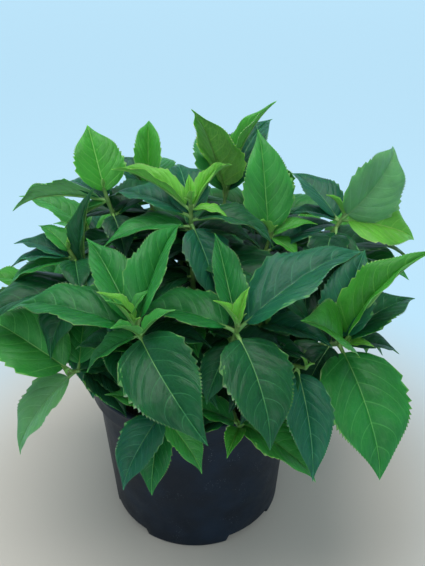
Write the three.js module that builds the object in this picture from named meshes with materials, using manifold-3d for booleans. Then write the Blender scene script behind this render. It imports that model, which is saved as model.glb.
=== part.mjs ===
// A leafy hydrangea shrub in its black nursery pot, in millimetres, +Z up.
// The origin is on the pot's axis, in the plane of the feet that the pot stands on. -Y is the front.
import * as THREE from "three";
import { mergeVertices } from "three/addons/utils/BufferGeometryUtils.js";
import Module from "manifold-3d";

const wasm = await Module();
wasm.setup();

// Driving dimensions
const CLEARANCE = 0.3;
const POT_HEIGHT = 135;
const POT_RIM_RADIUS = 84;
const POT_BAND_HEIGHT = 17;
const POT_SHOULDER_RADIUS = 77.5;
const POT_FOOT_RADIUS = 71;
const POT_WALL = 1.8;
const FOOT_HEIGHT = 7;
const FOOT_ARC_DEGREES = 54;
const FOOT_COUNT = 4;
const FIRST_FOOT = -96;
const DRAIN_HOLE_RADIUS = 5;
const SOIL_TOP = 114;
const CROWN_RADIUS = 27;
const CROWN_HEIGHT = 12;
const CANE_FOOT_RADIUS = 2.8;
const CANE_TIP_RADIUS = 2;
const STEM_TIP_RADIUS = 1.1;
const LEAF_THICKNESS = 1.8;
const PETIOLE_SHARE = 0.08;
const PETIOLE_HALF_WIDTH = 1.1;
const LEAF_GAP = 2.6;
const ROUND_SEGMENTS = 24;

const radians = THREE.MathUtils.degToRad;
const point = (x, y, z) => new THREE.Vector3(x, y, z);

// Solids: a closed three.js geometry to a manifold-3d solid, and back to a mesh
function solidOf(geometry) {
  geometry.deleteAttribute("normal");
  geometry.deleteAttribute("uv");
  const merged = mergeVertices(geometry, 1e-4);
  const kept = [];
  const index = merged.index.array;
  for (let i = 0; i < index.length; i += 3) {
    const corners = [index[i], index[i + 1], index[i + 2]];
    if (new Set(corners).size === 3) kept.push(...corners);
  }
  const vertProperties = merged.attributes.position.array;
  return new wasm.Manifold(new wasm.Mesh({ numProp: 3, vertProperties, triVerts: new Uint32Array(kept) }));
}

function meshOf(solid, name, material) {
  const { vertProperties, triVerts } = solid.getMesh();
  const geometry = new THREE.BufferGeometry();
  geometry.setAttribute("position", new THREE.BufferAttribute(vertProperties, 3));
  geometry.setIndex(new THREE.BufferAttribute(triVerts, 1));
  geometry.computeVertexNormals();
  const mesh = new THREE.Mesh(geometry, material);
  mesh.name = name;
  return mesh;
}

// A shape turned about the pot's axis from [radius, height] pairs
function turned(profile) {
  const outline = profile.map(([radius, height]) => new THREE.Vector2(radius, height));
  return solidOf(new THREE.LatheGeometry(outline, ROUND_SEGMENTS).rotateX(Math.PI / 2));
}

// The pot: thin black plastic. Its conical wall flares into a deep band with a lip, and its base stands on
// four short arcs of a foot ring and a round pad in the middle, with a drain hole by each gap.
const BAND_BOTTOM = POT_HEIGHT - POT_BAND_HEIGHT;
const BAND_LEAN = 1.2;
const LIP_WIDTH = 3.6;
const EDGE_ROUND = 4;
const FOOT_RING_WIDTH = 12;
const PAD_RADIUS = 22;
const FLOOR_TOP = FOOT_HEIGHT + 3;
const WALL_BOTTOM = FLOOR_TOP + CLEARANCE;
const INNER_FLOOR_RADIUS = POT_FOOT_RADIUS - 2 * POT_WALL;
const INNER_SHOULDER_RADIUS = POT_SHOULDER_RADIUS - POT_WALL;
const GAP_START = 50;
const GAP_REACH = 100;
const GAP_STEPS = 3;
const DRAIN_HOLE_DISTANCE = 45;
const DRAIN_HOLE_LENGTH = 20;
const DRAIN_HOLE_SIDES = 8;

function potWall() {
  return turned([
    [POT_FOOT_RADIUS, WALL_BOTTOM],
    [POT_SHOULDER_RADIUS, BAND_BOTTOM],
    [INNER_SHOULDER_RADIUS, BAND_BOTTOM],
    [INNER_FLOOR_RADIUS, WALL_BOTTOM],
    [POT_FOOT_RADIUS, WALL_BOTTOM],
  ]);
}

function potBand() {
  const bottom = BAND_BOTTOM + CLEARANCE;
  return turned([
    [INNER_SHOULDER_RADIUS, bottom],
    [POT_RIM_RADIUS - BAND_LEAN, bottom],
    [POT_RIM_RADIUS, POT_HEIGHT],
    [POT_RIM_RADIUS - LIP_WIDTH, POT_HEIGHT],
    [INNER_SHOULDER_RADIUS, bottom],
  ]);
}

// A wedge that parts two feet of the foot ring, centred on the bearing `middle`
function footGap(middle) {
  const gapArc = 360 / FOOT_COUNT - FOOT_ARC_DEGREES;
  const [first, last] = [radians(middle - gapArc / 2), radians(middle + gapArc / 2)];
  const outline = new THREE.Shape();
  outline.absarc(0, 0, GAP_REACH, first, last, false);
  outline.absarc(0, 0, GAP_START, last, first, true);
  outline.closePath();
  const settings = { depth: 2 * FOOT_HEIGHT, bevelEnabled: false, curveSegments: GAP_STEPS };
  const block = new THREE.ExtrudeGeometry(outline, settings);
  return solidOf(block.translate(0, 0, -FOOT_HEIGHT));
}

function drainHole(bearing) {
  const [radius, length] = [DRAIN_HOLE_RADIUS, DRAIN_HOLE_LENGTH];
  const hole = new THREE.CylinderGeometry(radius, radius, length, DRAIN_HOLE_SIDES).rotateX(Math.PI / 2);
  const [x, y] = [Math.cos(radians(bearing)), Math.sin(radians(bearing))];
  return solidOf(hole.translate(DRAIN_HOLE_DISTANCE * x, DRAIN_HOLE_DISTANCE * y, 0));
}

function potBase() {
  const footInside = POT_FOOT_RADIUS - FOOT_RING_WIDTH;
  let base = turned([
    [0, 0],
    [PAD_RADIUS, 0],
    [PAD_RADIUS + POT_WALL, FOOT_HEIGHT],
    [footInside, FOOT_HEIGHT],
    [footInside + POT_WALL, 0],
    [POT_FOOT_RADIUS - EDGE_ROUND, 0],
    [POT_FOOT_RADIUS, EDGE_ROUND],
    [POT_FOOT_RADIUS, FLOOR_TOP],
    [0, FLOOR_TOP],
  ]);
  for (let i = 0; i < FOOT_COUNT; i += 1) {
    const middle = FIRST_FOOT + (i + 0.5) * (360 / FOOT_COUNT);
    base = base.subtract(footGap(middle)).subtract(drainHole(middle));
  }
  return base;
}

// The potting mix: one body that fills the pot to just below its band, slightly heaped round the crown
const SOIL_DROP = 3;
const SOIL_EDGE = 12;
const HEAP_RADIUS = CROWN_RADIUS + 8;

function soilSolid() {
  return turned([
    [0, FLOOR_TOP + CLEARANCE],
    [INNER_FLOOR_RADIUS - CLEARANCE, FLOOR_TOP + CLEARANCE],
    [INNER_SHOULDER_RADIUS - 2 * CLEARANCE, SOIL_TOP - SOIL_DROP],
    [INNER_SHOULDER_RADIUS - SOIL_EDGE, SOIL_TOP - SOIL_DROP / 3],
    [HEAP_RADIUS, SOIL_TOP],
    [0, SOIL_TOP],
  ]);
}

// The crown: the short woody base that every cane springs from, flared a little at the soil
const CROWN_BOTTOM = SOIL_TOP + CLEARANCE;
const CROWN_TOP = CROWN_BOTTOM + CROWN_HEIGHT;
const CROWN_FLARE = 4;

function crownSolid() {
  return turned([
    [0, CROWN_BOTTOM],
    [CROWN_RADIUS + CROWN_FLARE, CROWN_BOTTOM],
    [CROWN_RADIUS + 0.25 * CROWN_FLARE, CROWN_BOTTOM + CROWN_FLARE],
    [CROWN_RADIUS, CROWN_TOP],
    [0, CROWN_TOP],
  ]);
}

// Shoots, placed from the photograph: the growing tip of each in millimetres, and its leaves.
// A leaf sits `down` the stem from the tip and points along its bearing (0 right, 90 back, 180 left,
// 270 front) and rise, in degrees. Its length runs from the stem to the leaf's own tip.
// fold is the V along the midrib, bend the arch over its length, roll the turn about its length.
const USUAL = { roll: 0, fold: 18, bend: 35, width: 0.56 };
const leaf = (down, bearing, rise, length, own = {}) => ({ down, bearing, rise, length, ...USUAL, ...own });
const FOLDED = { fold: 46, width: 0.45 };
const BROAD = { fold: 10, width: 0.66, bend: 55 };

const SHOOTS = [
  {
    name: "front_left",
    tip: [-30, -101, 227],
    leaves: [
      leaf(8, 165, 5, 85, { bend: 30, width: 0.52 }),
      leaf(6, 122, 32, 72, { fold: 30, width: 0.46, bend: 8 }),
      leaf(2, 165, 45, 30, FOLDED),
      leaf(5, 66, 37, 76, { fold: 45, width: 0.46 }),
      leaf(9, 302, -23, 79, { ...BROAD, width: 0.55, roll: 30 }),
      leaf(12, 185, -35, 42),
      leaf(24, 60, -10, 58),
      leaf(38, 160, -20, 60),
      leaf(38, 340, -35, 56),
    ],
  },
  {
    name: "front_middle",
    tip: [29, -96, 224],
    leaves: [
      leaf(8, 155, -16, 77, { bend: 50 }),
      leaf(8, 22, 26, 94, { bend: 30, width: 0.52 }),
      leaf(4, 105, 38, 66, { fold: 38, width: 0.38, bend: 8 }),
      leaf(2, 170, 50, 22, FOLDED),
      leaf(1, 60, 80, 24, FOLDED),
      leaf(9, 292, -36, 71, { ...BROAD, width: 0.6 }),
      leaf(20, 235, -50, 42),
      leaf(24, 104, -5, 52),
      leaf(38, 30, -25, 60),
      leaf(38, 200, -35, 54),
    ],
  },
  {
    name: "top_front",
    tip: [0, -26, 271],
    from: 2,
    leaves: [
      leaf(4, 155, 22, 62, { fold: 50, width: 0.36 }),
      leaf(8, 150, -2, 70),
      leaf(4, 60, 22, 56, { fold: 55, width: 0.3 }),
      leaf(1, 100, 55, 22, FOLDED),
      leaf(1, 280, 60, 16, FOLDED),
      leaf(3, 345, -5, 26),
      leaf(10, 350, -14, 58, { bend: 70 }),
      leaf(12, 298, -46, 60, { width: 0.58 }),
      leaf(10, 100, 25, 58),
      leaf(14, 190, -7, 60),
    ],
  },
  {
    name: "top",
    tip: [25, 56, 258],
    from: 2,
    leaves: [
      leaf(6, 225, 63, 80, { fold: 14, width: 0.62, bend: 20 }),
      leaf(5, 20, 60, 78, { fold: 48, width: 0.34 }),
      leaf(10, 50, 42, 82),
      leaf(10, 104, 45, 78),
    ],
  },
  {
    name: "upper_right",
    tip: [57, 8, 238],
    swing: 10,
    from: 2,
    leaves: [
      leaf(6, 108, 67, 81, { width: 0.52, bend: 12 }),
      leaf(4, 5, 18, 36),
      leaf(2, 220, 50, 20, FOLDED),
      leaf(4, 320, -20, 28),
      leaf(16, 25, 5, 70),
      leaf(18, 250, -20, 62),
    ],
  },
  {
    name: "right_shoulder",
    tip: [110, 14, 250],
    swing: -40,
    from: 2,
    leaves: [
      leaf(6, 34, 45, 70, { fold: 14, width: 0.7, roll: 75, bend: 60 }),
      leaf(6, 5, -14, 62, { roll: 40, width: 0.66 }),
      leaf(8, 124, 24, 60),
      leaf(2, 180, 50, 22, FOLDED),
      leaf(12, 260, -45, 64),
      leaf(7, 150, -15, 46),
    ],
  },
  {
    name: "right",
    tip: [105, -56, 183],
    leaves: [
      leaf(5, 15, 52, 86, { fold: 42, width: 0.48 }),
      leaf(5, 225, 40, 62, { width: 0.72, roll: -40, fold: 24, bend: 20 }),
      leaf(4, 330, 15, 20),
      leaf(10, 286, -40, 91, BROAD),
      leaf(10, 63, 35, 70),
      leaf(14, 28, 14, 74),
      leaf(16, 8, -12, 52),
      leaf(24, 40, -22, 62),
      leaf(20, 200, -20, 50),
    ],
  },
  {
    name: "upper_left",
    tip: [-59, -6, 275],
    from: 2,
    leaves: [
      leaf(6, 118, 50, 56, { width: 0.66, bend: 12 }),
      leaf(8, 175, -4, 70, { roll: 30 }),
      leaf(9, 150, -5, 56),
      leaf(8, 180, -38, 42),
      leaf(20, 60, 5, 60),
    ],
  },
  {
    name: "left",
    tip: [-82, -26, 239],
    from: 2,
    leaves: [
      leaf(6, 175, -10, 48),
      leaf(8, 185, -20, 52),
      leaf(8, 150, 3, 48),
      leaf(4, 122, 30, 42),
      leaf(8, 285, -5, 42),
      leaf(22, 240, -40, 62),
      leaf(20, 50, 60, 62, { fold: 45, width: 0.36 }),
    ],
  },
  {
    name: "low_left",
    tip: [-83, -66, 166],
    leaves: [
      leaf(6, 160, 28, 78, { width: 0.62, roll: -25 }),
      leaf(8, 220, -40, 65),
      leaf(8, 10, -5, 42),
      leaf(12, 90, 25, 58),
    ],
  },
  {
    name: "low_front_left",
    tip: [-19, -96, 153],
    leaves: [
      leaf(5, 175, 25, 39),
      leaf(10, 235, -35, 54, { width: 0.6 }),
      leaf(8, 256, -52, 52, { width: 0.5 }),
      leaf(6, 318, -42, 45, { width: 0.5 }),
    ],
  },
  {
    name: "low_front_right",
    tip: [32, -94, 143],
    leaves: [
      leaf(6, 180, 22, 44, { width: 0.64 }),
      leaf(3, 254, 0, 28, { fold: 35 }),
      leaf(8, 328, -18, 62),
      leaf(7, 355, 5, 34),
    ],
  },
  {
    name: "front_right",
    tip: [72, -86, 186],
    leaves: [
      leaf(12, 281, -42, 70, { width: 0.46 }),
      leaf(10, 240, -45, 40),
      leaf(10, 112, 25, 72),
      leaf(8, 69, 30, 62),
    ],
  },
  {
    name: "low_right",
    tip: [96, 8, 172],
    from: 2,
    leaves: [
      leaf(6, 20, 30, 58),
      leaf(6, 150, 35, 50),
      leaf(12, 355, -28, 72),
      leaf(14, 75, -5, 66),
    ],
  },
  {
    name: "top_left",
    tip: [-35, 42, 262],
    from: 2,
    leaves: [
      leaf(6, 75, 60, 66, FOLDED),
      leaf(8, 140, 30, 50),
      leaf(10, 90, 12, 70),
      leaf(20, 200, 0, 70),
    ],
  },
  {
    name: "inner_left",
    tip: [-52, -56, 190],
    leaves: [
      leaf(6, 205, 12, 62),
      leaf(6, 30, 12, 58),
      leaf(14, 120, 0, 62),
      leaf(14, 275, -20, 46),
      leaf(24, 335, -30, 56),
      leaf(30, 190, -15, 58),
    ],
  },
  {
    name: "inner_right",
    tip: [46, -50, 196],
    leaves: [
      leaf(6, 165, 5, 66),
      leaf(6, 340, 10, 55),
      leaf(14, 60, 0, 62),
      leaf(16, 215, -25, 50),
      leaf(26, 300, -30, 54),
      leaf(30, 0, -20, 58),
    ],
  },
  {
    name: "inner_middle",
    tip: [-4, -60, 198],
    leaves: [
      leaf(5, 285, 8, 38),
      leaf(8, 195, 0, 52),
      leaf(8, 5, 0, 54),
      leaf(14, 268, -45, 60),
      leaf(16, 95, 5, 58),
      leaf(26, 215, -38, 54),
      leaf(26, 335, -38, 54),
    ],
  },
  { name: "inner_back", tip: [2, 26, 212], from: 0 },
  { name: "back_left", tip: [-88, 52, 228], from: 0 },
  { name: "back_middle", tip: [-18, 100, 235], leaves: [leaf(46, 118, -35, 72)], from: 0 },
  { name: "back_right", tip: [64, 82, 242], from: 0 },
  { name: "far_right", tip: [120, 62, 195], from: 0 },
  { name: "far_left", tip: [-122, 22, 182], leaves: [leaf(28, 252, -20, 60)], from: 0 },
  { name: "low_back_left", tip: [-78, 104, 178], from: 0 },
  { name: "low_back", tip: [8, 136, 178], swing: -10, from: 0 },
  { name: "low_back_right", tip: [92, 112, 176], swing: -12, from: 0 },
];

// Repeatable values from 0 up to 1: the same numbers give the same plant each time
function chance(...numbers) {
  let mixed = 2166136261;
  for (const number of numbers) {
    mixed = Math.imul(mixed ^ number, 16777619) >>> 0;
    mixed = Math.imul(mixed ^ (mixed >>> 15), 2246822519) >>> 0;
  }
  return ((mixed ^ (mixed >>> 13)) >>> 0) / 4294967296;
}

// The leaves that the photograph doesn't show grow in crossed pairs, older and lower down the stem:
// each pair is longer than the last until the third, and hangs further down. A shoot has them
// from its pair `from` on, and none where it states no such pair.
const PAIR_DOWN = [12, 24, 37, 50];
const PAIR_RISE = [30, 12, -8, -28];
const PAIR_LENGTH = [66, 80, 88, 84];
const PAIR_TURN = 90;
const FIRST_TURN = 25;
const BEARING_PLAY = 30;
const RISE_PLAY = 14;
const RISE_DRAW = 7;
const OUTER_DROOP = 8;
const SHORTEST = 0.88;
const LENGTH_PLAY = 0.2;
const LENGTH_DRAW = 11;
const PAIR_FOLD = 14;
const PAIR_BEND = 40;
const PAIR_BEND_STEP = 8;

function pairOf(shoot, shootNumber, pair) {
  const outward = THREE.MathUtils.radToDeg(Math.atan2(shoot.tip[1], shoot.tip[0]));
  return [0, 1].map((side) => {
    const spread = BEARING_PLAY * (chance(shootNumber, pair, side) - 0.5);
    const bearing = outward + FIRST_TURN + PAIR_TURN * pair + 180 * side + spread;
    const droop = OUTER_DROOP * Math.cos(radians(bearing - outward));
    const lift = RISE_PLAY * (chance(shootNumber, pair, side, RISE_DRAW) - 0.5);
    const growth = SHORTEST + LENGTH_PLAY * chance(shootNumber, pair, side, LENGTH_DRAW);
    const own = { fold: PAIR_FOLD, bend: PAIR_BEND + PAIR_BEND_STEP * pair };
    return leaf(PAIR_DOWN[pair], bearing, PAIR_RISE[pair] - droop + lift, PAIR_LENGTH[pair] * growth, own);
  });
}

// Canes: each rises from the crown and leans out to its shoot's tip along a bowed line.
// The feet of low shoots stand near the crown's edge and those of high ones near its middle, each towards
// its tip or `swing` degrees round from there, and then they part until no two are too close.
const BOW_OUT = 0.12;
const HIGH_TIP = 200;
const LOW_ARCH = 20;
const HIGH_SAG = -12;
const OUTER_FOOT = 24;
const LOWEST_TIP = 140;
const FOOT_FALL = 0.15;
const LEAST_FOOT = 3;
const FOOT_PITCH = 7;
const FOOT_LIMIT = CROWN_RADIUS - CANE_FOOT_RADIUS - 2 * CLEARANCE;
const SPREAD_ROUNDS = 200;

function spreadFeet() {
  const feet = SHOOTS.map(({ tip: [x, y, z], swing = 0 }) => {
    const foot = new THREE.Vector2(x, y).rotateAround(new THREE.Vector2(0, 0), radians(swing));
    const wanted = OUTER_FOOT - FOOT_FALL * (z - LOWEST_TIP);
    return foot.setLength(THREE.MathUtils.clamp(wanted, LEAST_FOOT, FOOT_LIMIT));
  });
  for (let round = 0; round < SPREAD_ROUNDS; round += 1) {
    feet.forEach((foot, number) => {
      for (const other of feet.slice(number + 1)) {
        const apart = other.clone().sub(foot);
        const short = FOOT_PITCH - apart.length();
        if (short <= 0) continue;
        apart.setLength(short / 2);
        foot.sub(apart);
        other.add(apart);
      }
    });
    feet.forEach((foot) => foot.clampLength(0, FOOT_LIMIT));
  }
  return feet;
}

function limbOf(shoot, footAt) {
  const tip = point(...shoot.tip);
  const foot = point(footAt.x, footAt.y, CROWN_TOP + CLEARANCE);
  const reach = tip.clone().sub(foot);
  const middle = foot.clone().addScaledVector(reach, 0.5);
  middle.x += BOW_OUT * reach.x;
  middle.y += BOW_OUT * reach.y;
  middle.z += tip.z < HIGH_TIP ? LOW_ARCH : HIGH_SAG;
  return new THREE.QuadraticBezierCurve3(foot, middle, tip);
}

// A round tapering limb between two shares of its curve, cut level at the crown
const LIMB_SIDES = 6;
const CANE_STEPS = 4;
const STEM_STEPS = 2;

function limbSolid(curve, from, to, firstRadius, lastRadius, steps, levelFoot) {
  const positions = [];
  const index = [];
  for (let step = 0; step <= steps; step += 1) {
    const share = from + ((to - from) * step) / steps;
    const centre = curve.getPoint(share);
    const along = step === 0 && levelFoot ? point(0, 0, 1) : curve.getTangent(share);
    const across = point(0, 1, 0).cross(along).normalize();
    const up = along.clone().cross(across);
    const radius = firstRadius + ((lastRadius - firstRadius) * step) / steps;
    for (let side = 0; side < LIMB_SIDES; side += 1) {
      const turn = (2 * Math.PI * side) / LIMB_SIDES;
      const corner = centre.clone();
      corner.addScaledVector(across, radius * Math.cos(turn));
      corner.addScaledVector(up, radius * Math.sin(turn));
      positions.push(...corner);
    }
  }
  for (let step = 0; step < steps; step += 1) {
    for (let side = 0; side < LIMB_SIDES; side += 1) {
      const a = step * LIMB_SIDES + side;
      const b = step * LIMB_SIDES + ((side + 1) % LIMB_SIDES);
      index.push(a, b, b + LIMB_SIDES, a, b + LIMB_SIDES, a + LIMB_SIDES);
    }
  }
  for (let side = 1; side < LIMB_SIDES - 1; side += 1) {
    const last = steps * LIMB_SIDES;
    index.push(0, side + 1, side, last, last + side, last + side + 1);
  }
  return closedSolid(positions, index);
}

function closedSolid(positions, index) {
  const geometry = new THREE.BufferGeometry();
  geometry.setAttribute("position", new THREE.Float32BufferAttribute(positions, 3));
  geometry.setIndex(index);
  return solidOf(geometry);
}

// A leaf's frame: its own direction, the side that its right margin lies on, and its upper face
function leafFrame({ bearing, rise, roll }) {
  const [b, r, q] = [radians(bearing), radians(rise), radians(roll)];
  const along = point(Math.cos(r) * Math.cos(b), Math.cos(r) * Math.sin(b), Math.sin(r));
  const up = point(-Math.sin(r) * Math.cos(b), -Math.sin(r) * Math.sin(b), Math.cos(r));
  const level = along.clone().cross(up);
  const face = up.multiplyScalar(Math.cos(q)).addScaledVector(level, Math.sin(q));
  return { along, side: along.clone().cross(face), face };
}

// Half the blade's width at a share of the leaf's length: widest a third of the way, drawn out to the tip
const WIDEN = 0.6;
const TAPER = 1.12;
const WIDEST = WIDEN / (WIDEN + TAPER);

function halfWidth(share, { width, length }) {
  const blade = (share - PETIOLE_SHARE) / (1 - PETIOLE_SHARE);
  if (blade <= 0 || blade >= 1) return 0;
  const shape = (blade / WIDEST) ** WIDEN * ((1 - blade) / (1 - WIDEST)) ** TAPER;
  return 0.5 * width * length * shape;
}

// Rows across a leaf from its stem to its tip: left margin, midrib, right margin and the upper face
const STATIONS = [0, PETIOLE_SHARE, 0.3, 0.52, 0.76, 1];
const TIP_SHARE = 0.3;

function leafRows(base, shape) {
  const { along, side, face } = leafFrame(shape);
  const bend = radians(shape.bend);
  const fold = radians(shape.fold);
  const arc = (shape.length * (bend / 2)) / Math.sin(bend / 2) / bend;
  return STATIONS.map((share) => {
    const turn = bend * (0.5 - share);
    const midrib = base.clone();
    midrib.addScaledVector(along, arc * (Math.sin(bend / 2) - Math.sin(turn)));
    midrib.addScaledVector(face, arc * (Math.cos(turn) - Math.cos(bend / 2)));
    const upper = face.clone().multiplyScalar(Math.cos(turn)).addScaledVector(along, -Math.sin(turn));
    const least = (share < 1 ? 1 : TIP_SHARE) * PETIOLE_HALF_WIDTH;
    const half = Math.max(halfWidth(share, shape), least);
    const raised = midrib.clone().addScaledVector(upper, half * Math.sin(fold));
    const left = raised.clone().addScaledVector(side, -half * Math.cos(fold));
    const right = raised.clone().addScaledVector(side, half * Math.cos(fold));
    return { left, midrib, right, upper };
  });
}

// The leaf as a closed solid, lens-shaped across: thick at the midrib and thin at the margins
function leafSolid(rows) {
  const positions = [];
  const index = [];
  rows.forEach(({ left, midrib, right, upper }, row) => {
    const thick = ((row < rows.length - 1 ? 1 : TIP_SHARE) * LEAF_THICKNESS) / 2;
    const top = midrib.clone().addScaledVector(upper, thick);
    const under = midrib.clone().addScaledVector(upper, -thick);
    positions.push(...top, ...right, ...under, ...left);
  });
  for (let row = 0; row < rows.length - 1; row += 1) {
    for (let corner = 0; corner < 4; corner += 1) {
      const a = 4 * row + corner;
      const b = 4 * row + ((corner + 1) % 4);
      index.push(a, b, b + 4, a, b + 4, a + 4);
    }
  }
  const last = 4 * (rows.length - 1);
  index.push(0, 2, 1, 0, 3, 2, last, last + 1, last + 2, last, last + 2, last + 3);
  return closedSolid(positions, index);
}

// Clearance: a leaf is tested as a thin sheet with short needles through it on both sides
const SAMPLE_SHARES = [0.25, 0.5, 0.75];

function sheetOf(rows, firstRow) {
  const triangles = [];
  const edges = [];
  const needles = [];
  const samples = [];
  for (let row = firstRow; row < rows.length; row += 1) {
    const { left, midrib, right, upper } = rows[row];
    const across = [left, midrib, right];
    edges.push([left, midrib], [midrib, right]);
    for (const at of across) {
      samples.push(at);
      const top = at.clone().addScaledVector(upper, LEAF_GAP);
      needles.push([at.clone().addScaledVector(upper, -LEAF_GAP), top]);
    }
    if (row + 1 === rows.length) break;
    const next = [rows[row + 1].left, rows[row + 1].midrib, rows[row + 1].right];
    for (let i = 0; i < 3; i += 1) {
      edges.push([across[i], next[i]]);
      for (const share of SAMPLE_SHARES) samples.push(across[i].clone().lerp(next[i], share));
    }
    for (let i = 0; i < 2; i += 1) {
      triangles.push([across[i], across[i + 1], next[i + 1]], [across[i], next[i + 1], next[i]]);
      for (const share of SAMPLE_SHARES) samples.push(across[i].clone().lerp(next[i + 1], share));
    }
  }
  const box = new THREE.Box3().setFromPoints(samples).expandByScalar(LEAF_GAP);
  return { triangles, edges, needles, samples, box };
}

// True where the straight line from one point to another passes through a triangle
function crosses([from, to], [a, b, c]) {
  const along = to.clone().sub(from);
  const ab = b.clone().sub(a);
  const ac = c.clone().sub(a);
  const over = along.clone().cross(ac);
  const size = ab.dot(over);
  if (Math.abs(size) < 1e-9) return false;
  const away = from.clone().sub(a);
  const first = away.dot(over) / size;
  if (first < 0 || first > 1) return false;
  const turned = away.clone().cross(ab);
  const second = along.dot(turned) / size;
  if (second < 0 || first + second > 1) return false;
  const share = ac.dot(turned) / size;
  return share >= 0 && share <= 1;
}

function anyCross(lines, triangles) {
  return lines.some((line) => triangles.some((triangle) => crosses(line, triangle)));
}

function sheetsCross(one, other) {
  if (!one.box.intersectsBox(other.box)) return false;
  return anyCross(one.edges, other.triangles) || anyCross(other.edges, one.triangles);
}

function sheetsTouch(one, other) {
  if (!one.box.intersectsBox(other.box)) return false;
  if (anyCross(one.edges, other.triangles) || anyCross(other.edges, one.triangles)) return true;
  return anyCross(one.needles, other.triangles) || anyCross(other.needles, one.triangles);
}

// A limb is tested as a chain of straight pieces with its radius
const LIMB_MARGIN = 1.6;
const CHAIN_STEPS = 12;

function touchesLimb(sheet, chain) {
  if (!sheet.box.intersectsBox(chain.box)) return false;
  const nearest = point(0, 0, 0);
  return chain.lines.some((line) => {
    if (sheet.triangles.some((triangle) => crosses([line.start, line.end], triangle))) return true;
    return sheet.samples.some((sample) => {
      line.closestPointToPoint(sample, true, nearest);
      return nearest.distanceTo(sample) < CANE_FOOT_RADIUS + LIMB_MARGIN;
    });
  });
}

// A leaf that hangs over the side passes outside the pot's lip, and one inside stays above it
function touchesPot(sheet) {
  const lip = POT_RIM_RADIUS + LEAF_GAP;
  return sheet.samples.some(({ x, y, z }) => z < POT_HEIGHT + LEAF_GAP && Math.hypot(x, y) < lip);
}

// Growth: every leaf takes its stated place, or the nearest small turn from it that touches nothing.
// One that finds no such place is tried shorter, and is then left out.
const SMALL_TURNS = [
  [0, 0], [5, 0], [-5, 0], [0, 8], [0, -8], [10, 0], [-10, 0], [6, 14], [6, -14],
  [-6, 14], [-6, -14], [16, 0], [-16, 0], [0, 24], [0, -24], [14, 20], [14, -20], [-14, 20], [-14, -20],
];
const SHORTER = [1, 0.8, 0.64];
const MASS_LENGTH = 62;
const FIRST_BLADE_ROW = 2;
const SPEED_STEP = 0.01;

const feet = spreadFeet();

const stems = SHOOTS.map((shoot, number) => {
  const curve = limbOf(shoot, feet[number]);
  const whole = curve.getLength();
  const split = 1 - Math.min(MASS_LENGTH, 0.5 * whole) / whole;
  const speed = curve.getPoint(split).distanceTo(curve.getPoint(split + SPEED_STEP)) / SPEED_STEP;
  const chainPoints = curve.getPoints(CHAIN_STEPS);
  const lines = chainPoints.slice(1).map((end, i) => new THREE.Line3(chainPoints[i], end));
  const box = new THREE.Box3().setFromPoints(chainPoints).expandByScalar(CANE_FOOT_RADIUS + LIMB_MARGIN);
  return { curve, whole, split, restart: split + CLEARANCE / speed, chain: { lines, box } };
});

const placed = SHOOTS.map(() => []);

function isFree(rows, shootNumber, mayCrossOwn) {
  const sheet = sheetOf(rows, 0);
  const blade = sheetOf(rows, FIRST_BLADE_ROW);
  if (touchesPot(sheet)) return false;
  for (let other = 0; other < SHOOTS.length; other += 1) {
    if (other === shootNumber) {
      if (!mayCrossOwn && placed[other].some((mate) => sheetsCross(blade, mate.blade))) return false;
    } else {
      if (touchesLimb(sheet, stems[other].chain)) return false;
      if (placed[other].some((neighbour) => sheetsTouch(sheet, neighbour.sheet))) return false;
    }
  }
  return true;
}

function growLeaf(shape, shootNumber) {
  const { curve, whole, restart } = stems[shootNumber];
  const share = 1 - shape.down / whole;
  if (share * whole < restart * whole + CANE_TIP_RADIUS) return;
  const base = curve.getPoint(share);
  for (const shorter of SHORTER) {
    for (const mayCrossOwn of [false, true]) {
      for (const [rise, bearing] of SMALL_TURNS) {
        const tried = { ...shape, rise: shape.rise + rise, bearing: shape.bearing + bearing };
        tried.length *= shorter;
        const rows = leafRows(base, tried);
        if (isFree(rows, shootNumber, mayCrossOwn)) {
          placed[shootNumber].push({ rows, sheet: sheetOf(rows, 0), blade: sheetOf(rows, FIRST_BLADE_ROW) });
          return;
        }
      }
    }
  }
}

SHOOTS.forEach(({ leaves = [] }, number) => leaves.forEach((shape) => growLeaf(shape, number)));
PAIR_DOWN.forEach((down, pair) => {
  SHOOTS.forEach((shoot, number) => {
    if (pair >= shoot.from) pairOf(shoot, number, pair).forEach((shape) => growLeaf(shape, number));
  });
});

// Materials
const blackPlastic = new THREE.MeshStandardMaterial({ color: 0x14171b, roughness: 0.5, metalness: 0 });
const pottingMix = new THREE.MeshStandardMaterial({ color: 0x2c2018, roughness: 0.95, metalness: 0 });
const wood = new THREE.MeshStandardMaterial({ color: 0x6d5a3e, roughness: 0.85, metalness: 0 });
const foliage = new THREE.MeshStandardMaterial({ color: 0x2f6a33, roughness: 0.45, metalness: 0 });

// The whole plant
const group = new THREE.Group();
group.add(meshOf(potWall(), "pot", blackPlastic));
group.add(meshOf(potBand(), "pot_band", blackPlastic));
group.add(meshOf(potBase(), "pot_base", blackPlastic));
group.add(meshOf(soilSolid(), "soil", pottingMix));
group.add(meshOf(crownSolid(), "crown", wood));

SHOOTS.forEach((shoot, number) => {
  const { curve, split, restart } = stems[number];
  const cane = limbSolid(curve, 0, split, CANE_FOOT_RADIUS, CANE_TIP_RADIUS, CANE_STEPS, true);
  let mass = limbSolid(curve, restart, 1, CANE_TIP_RADIUS, STEM_TIP_RADIUS, STEM_STEPS, false);
  for (const { rows } of placed[number]) mass = mass.add(leafSolid(rows));
  group.add(meshOf(cane, `${shoot.name}_cane`, wood));
  group.add(meshOf(mass, `${shoot.name}_leaves`, foliage));
});

export default group;
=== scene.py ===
import cmath
import math

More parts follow.
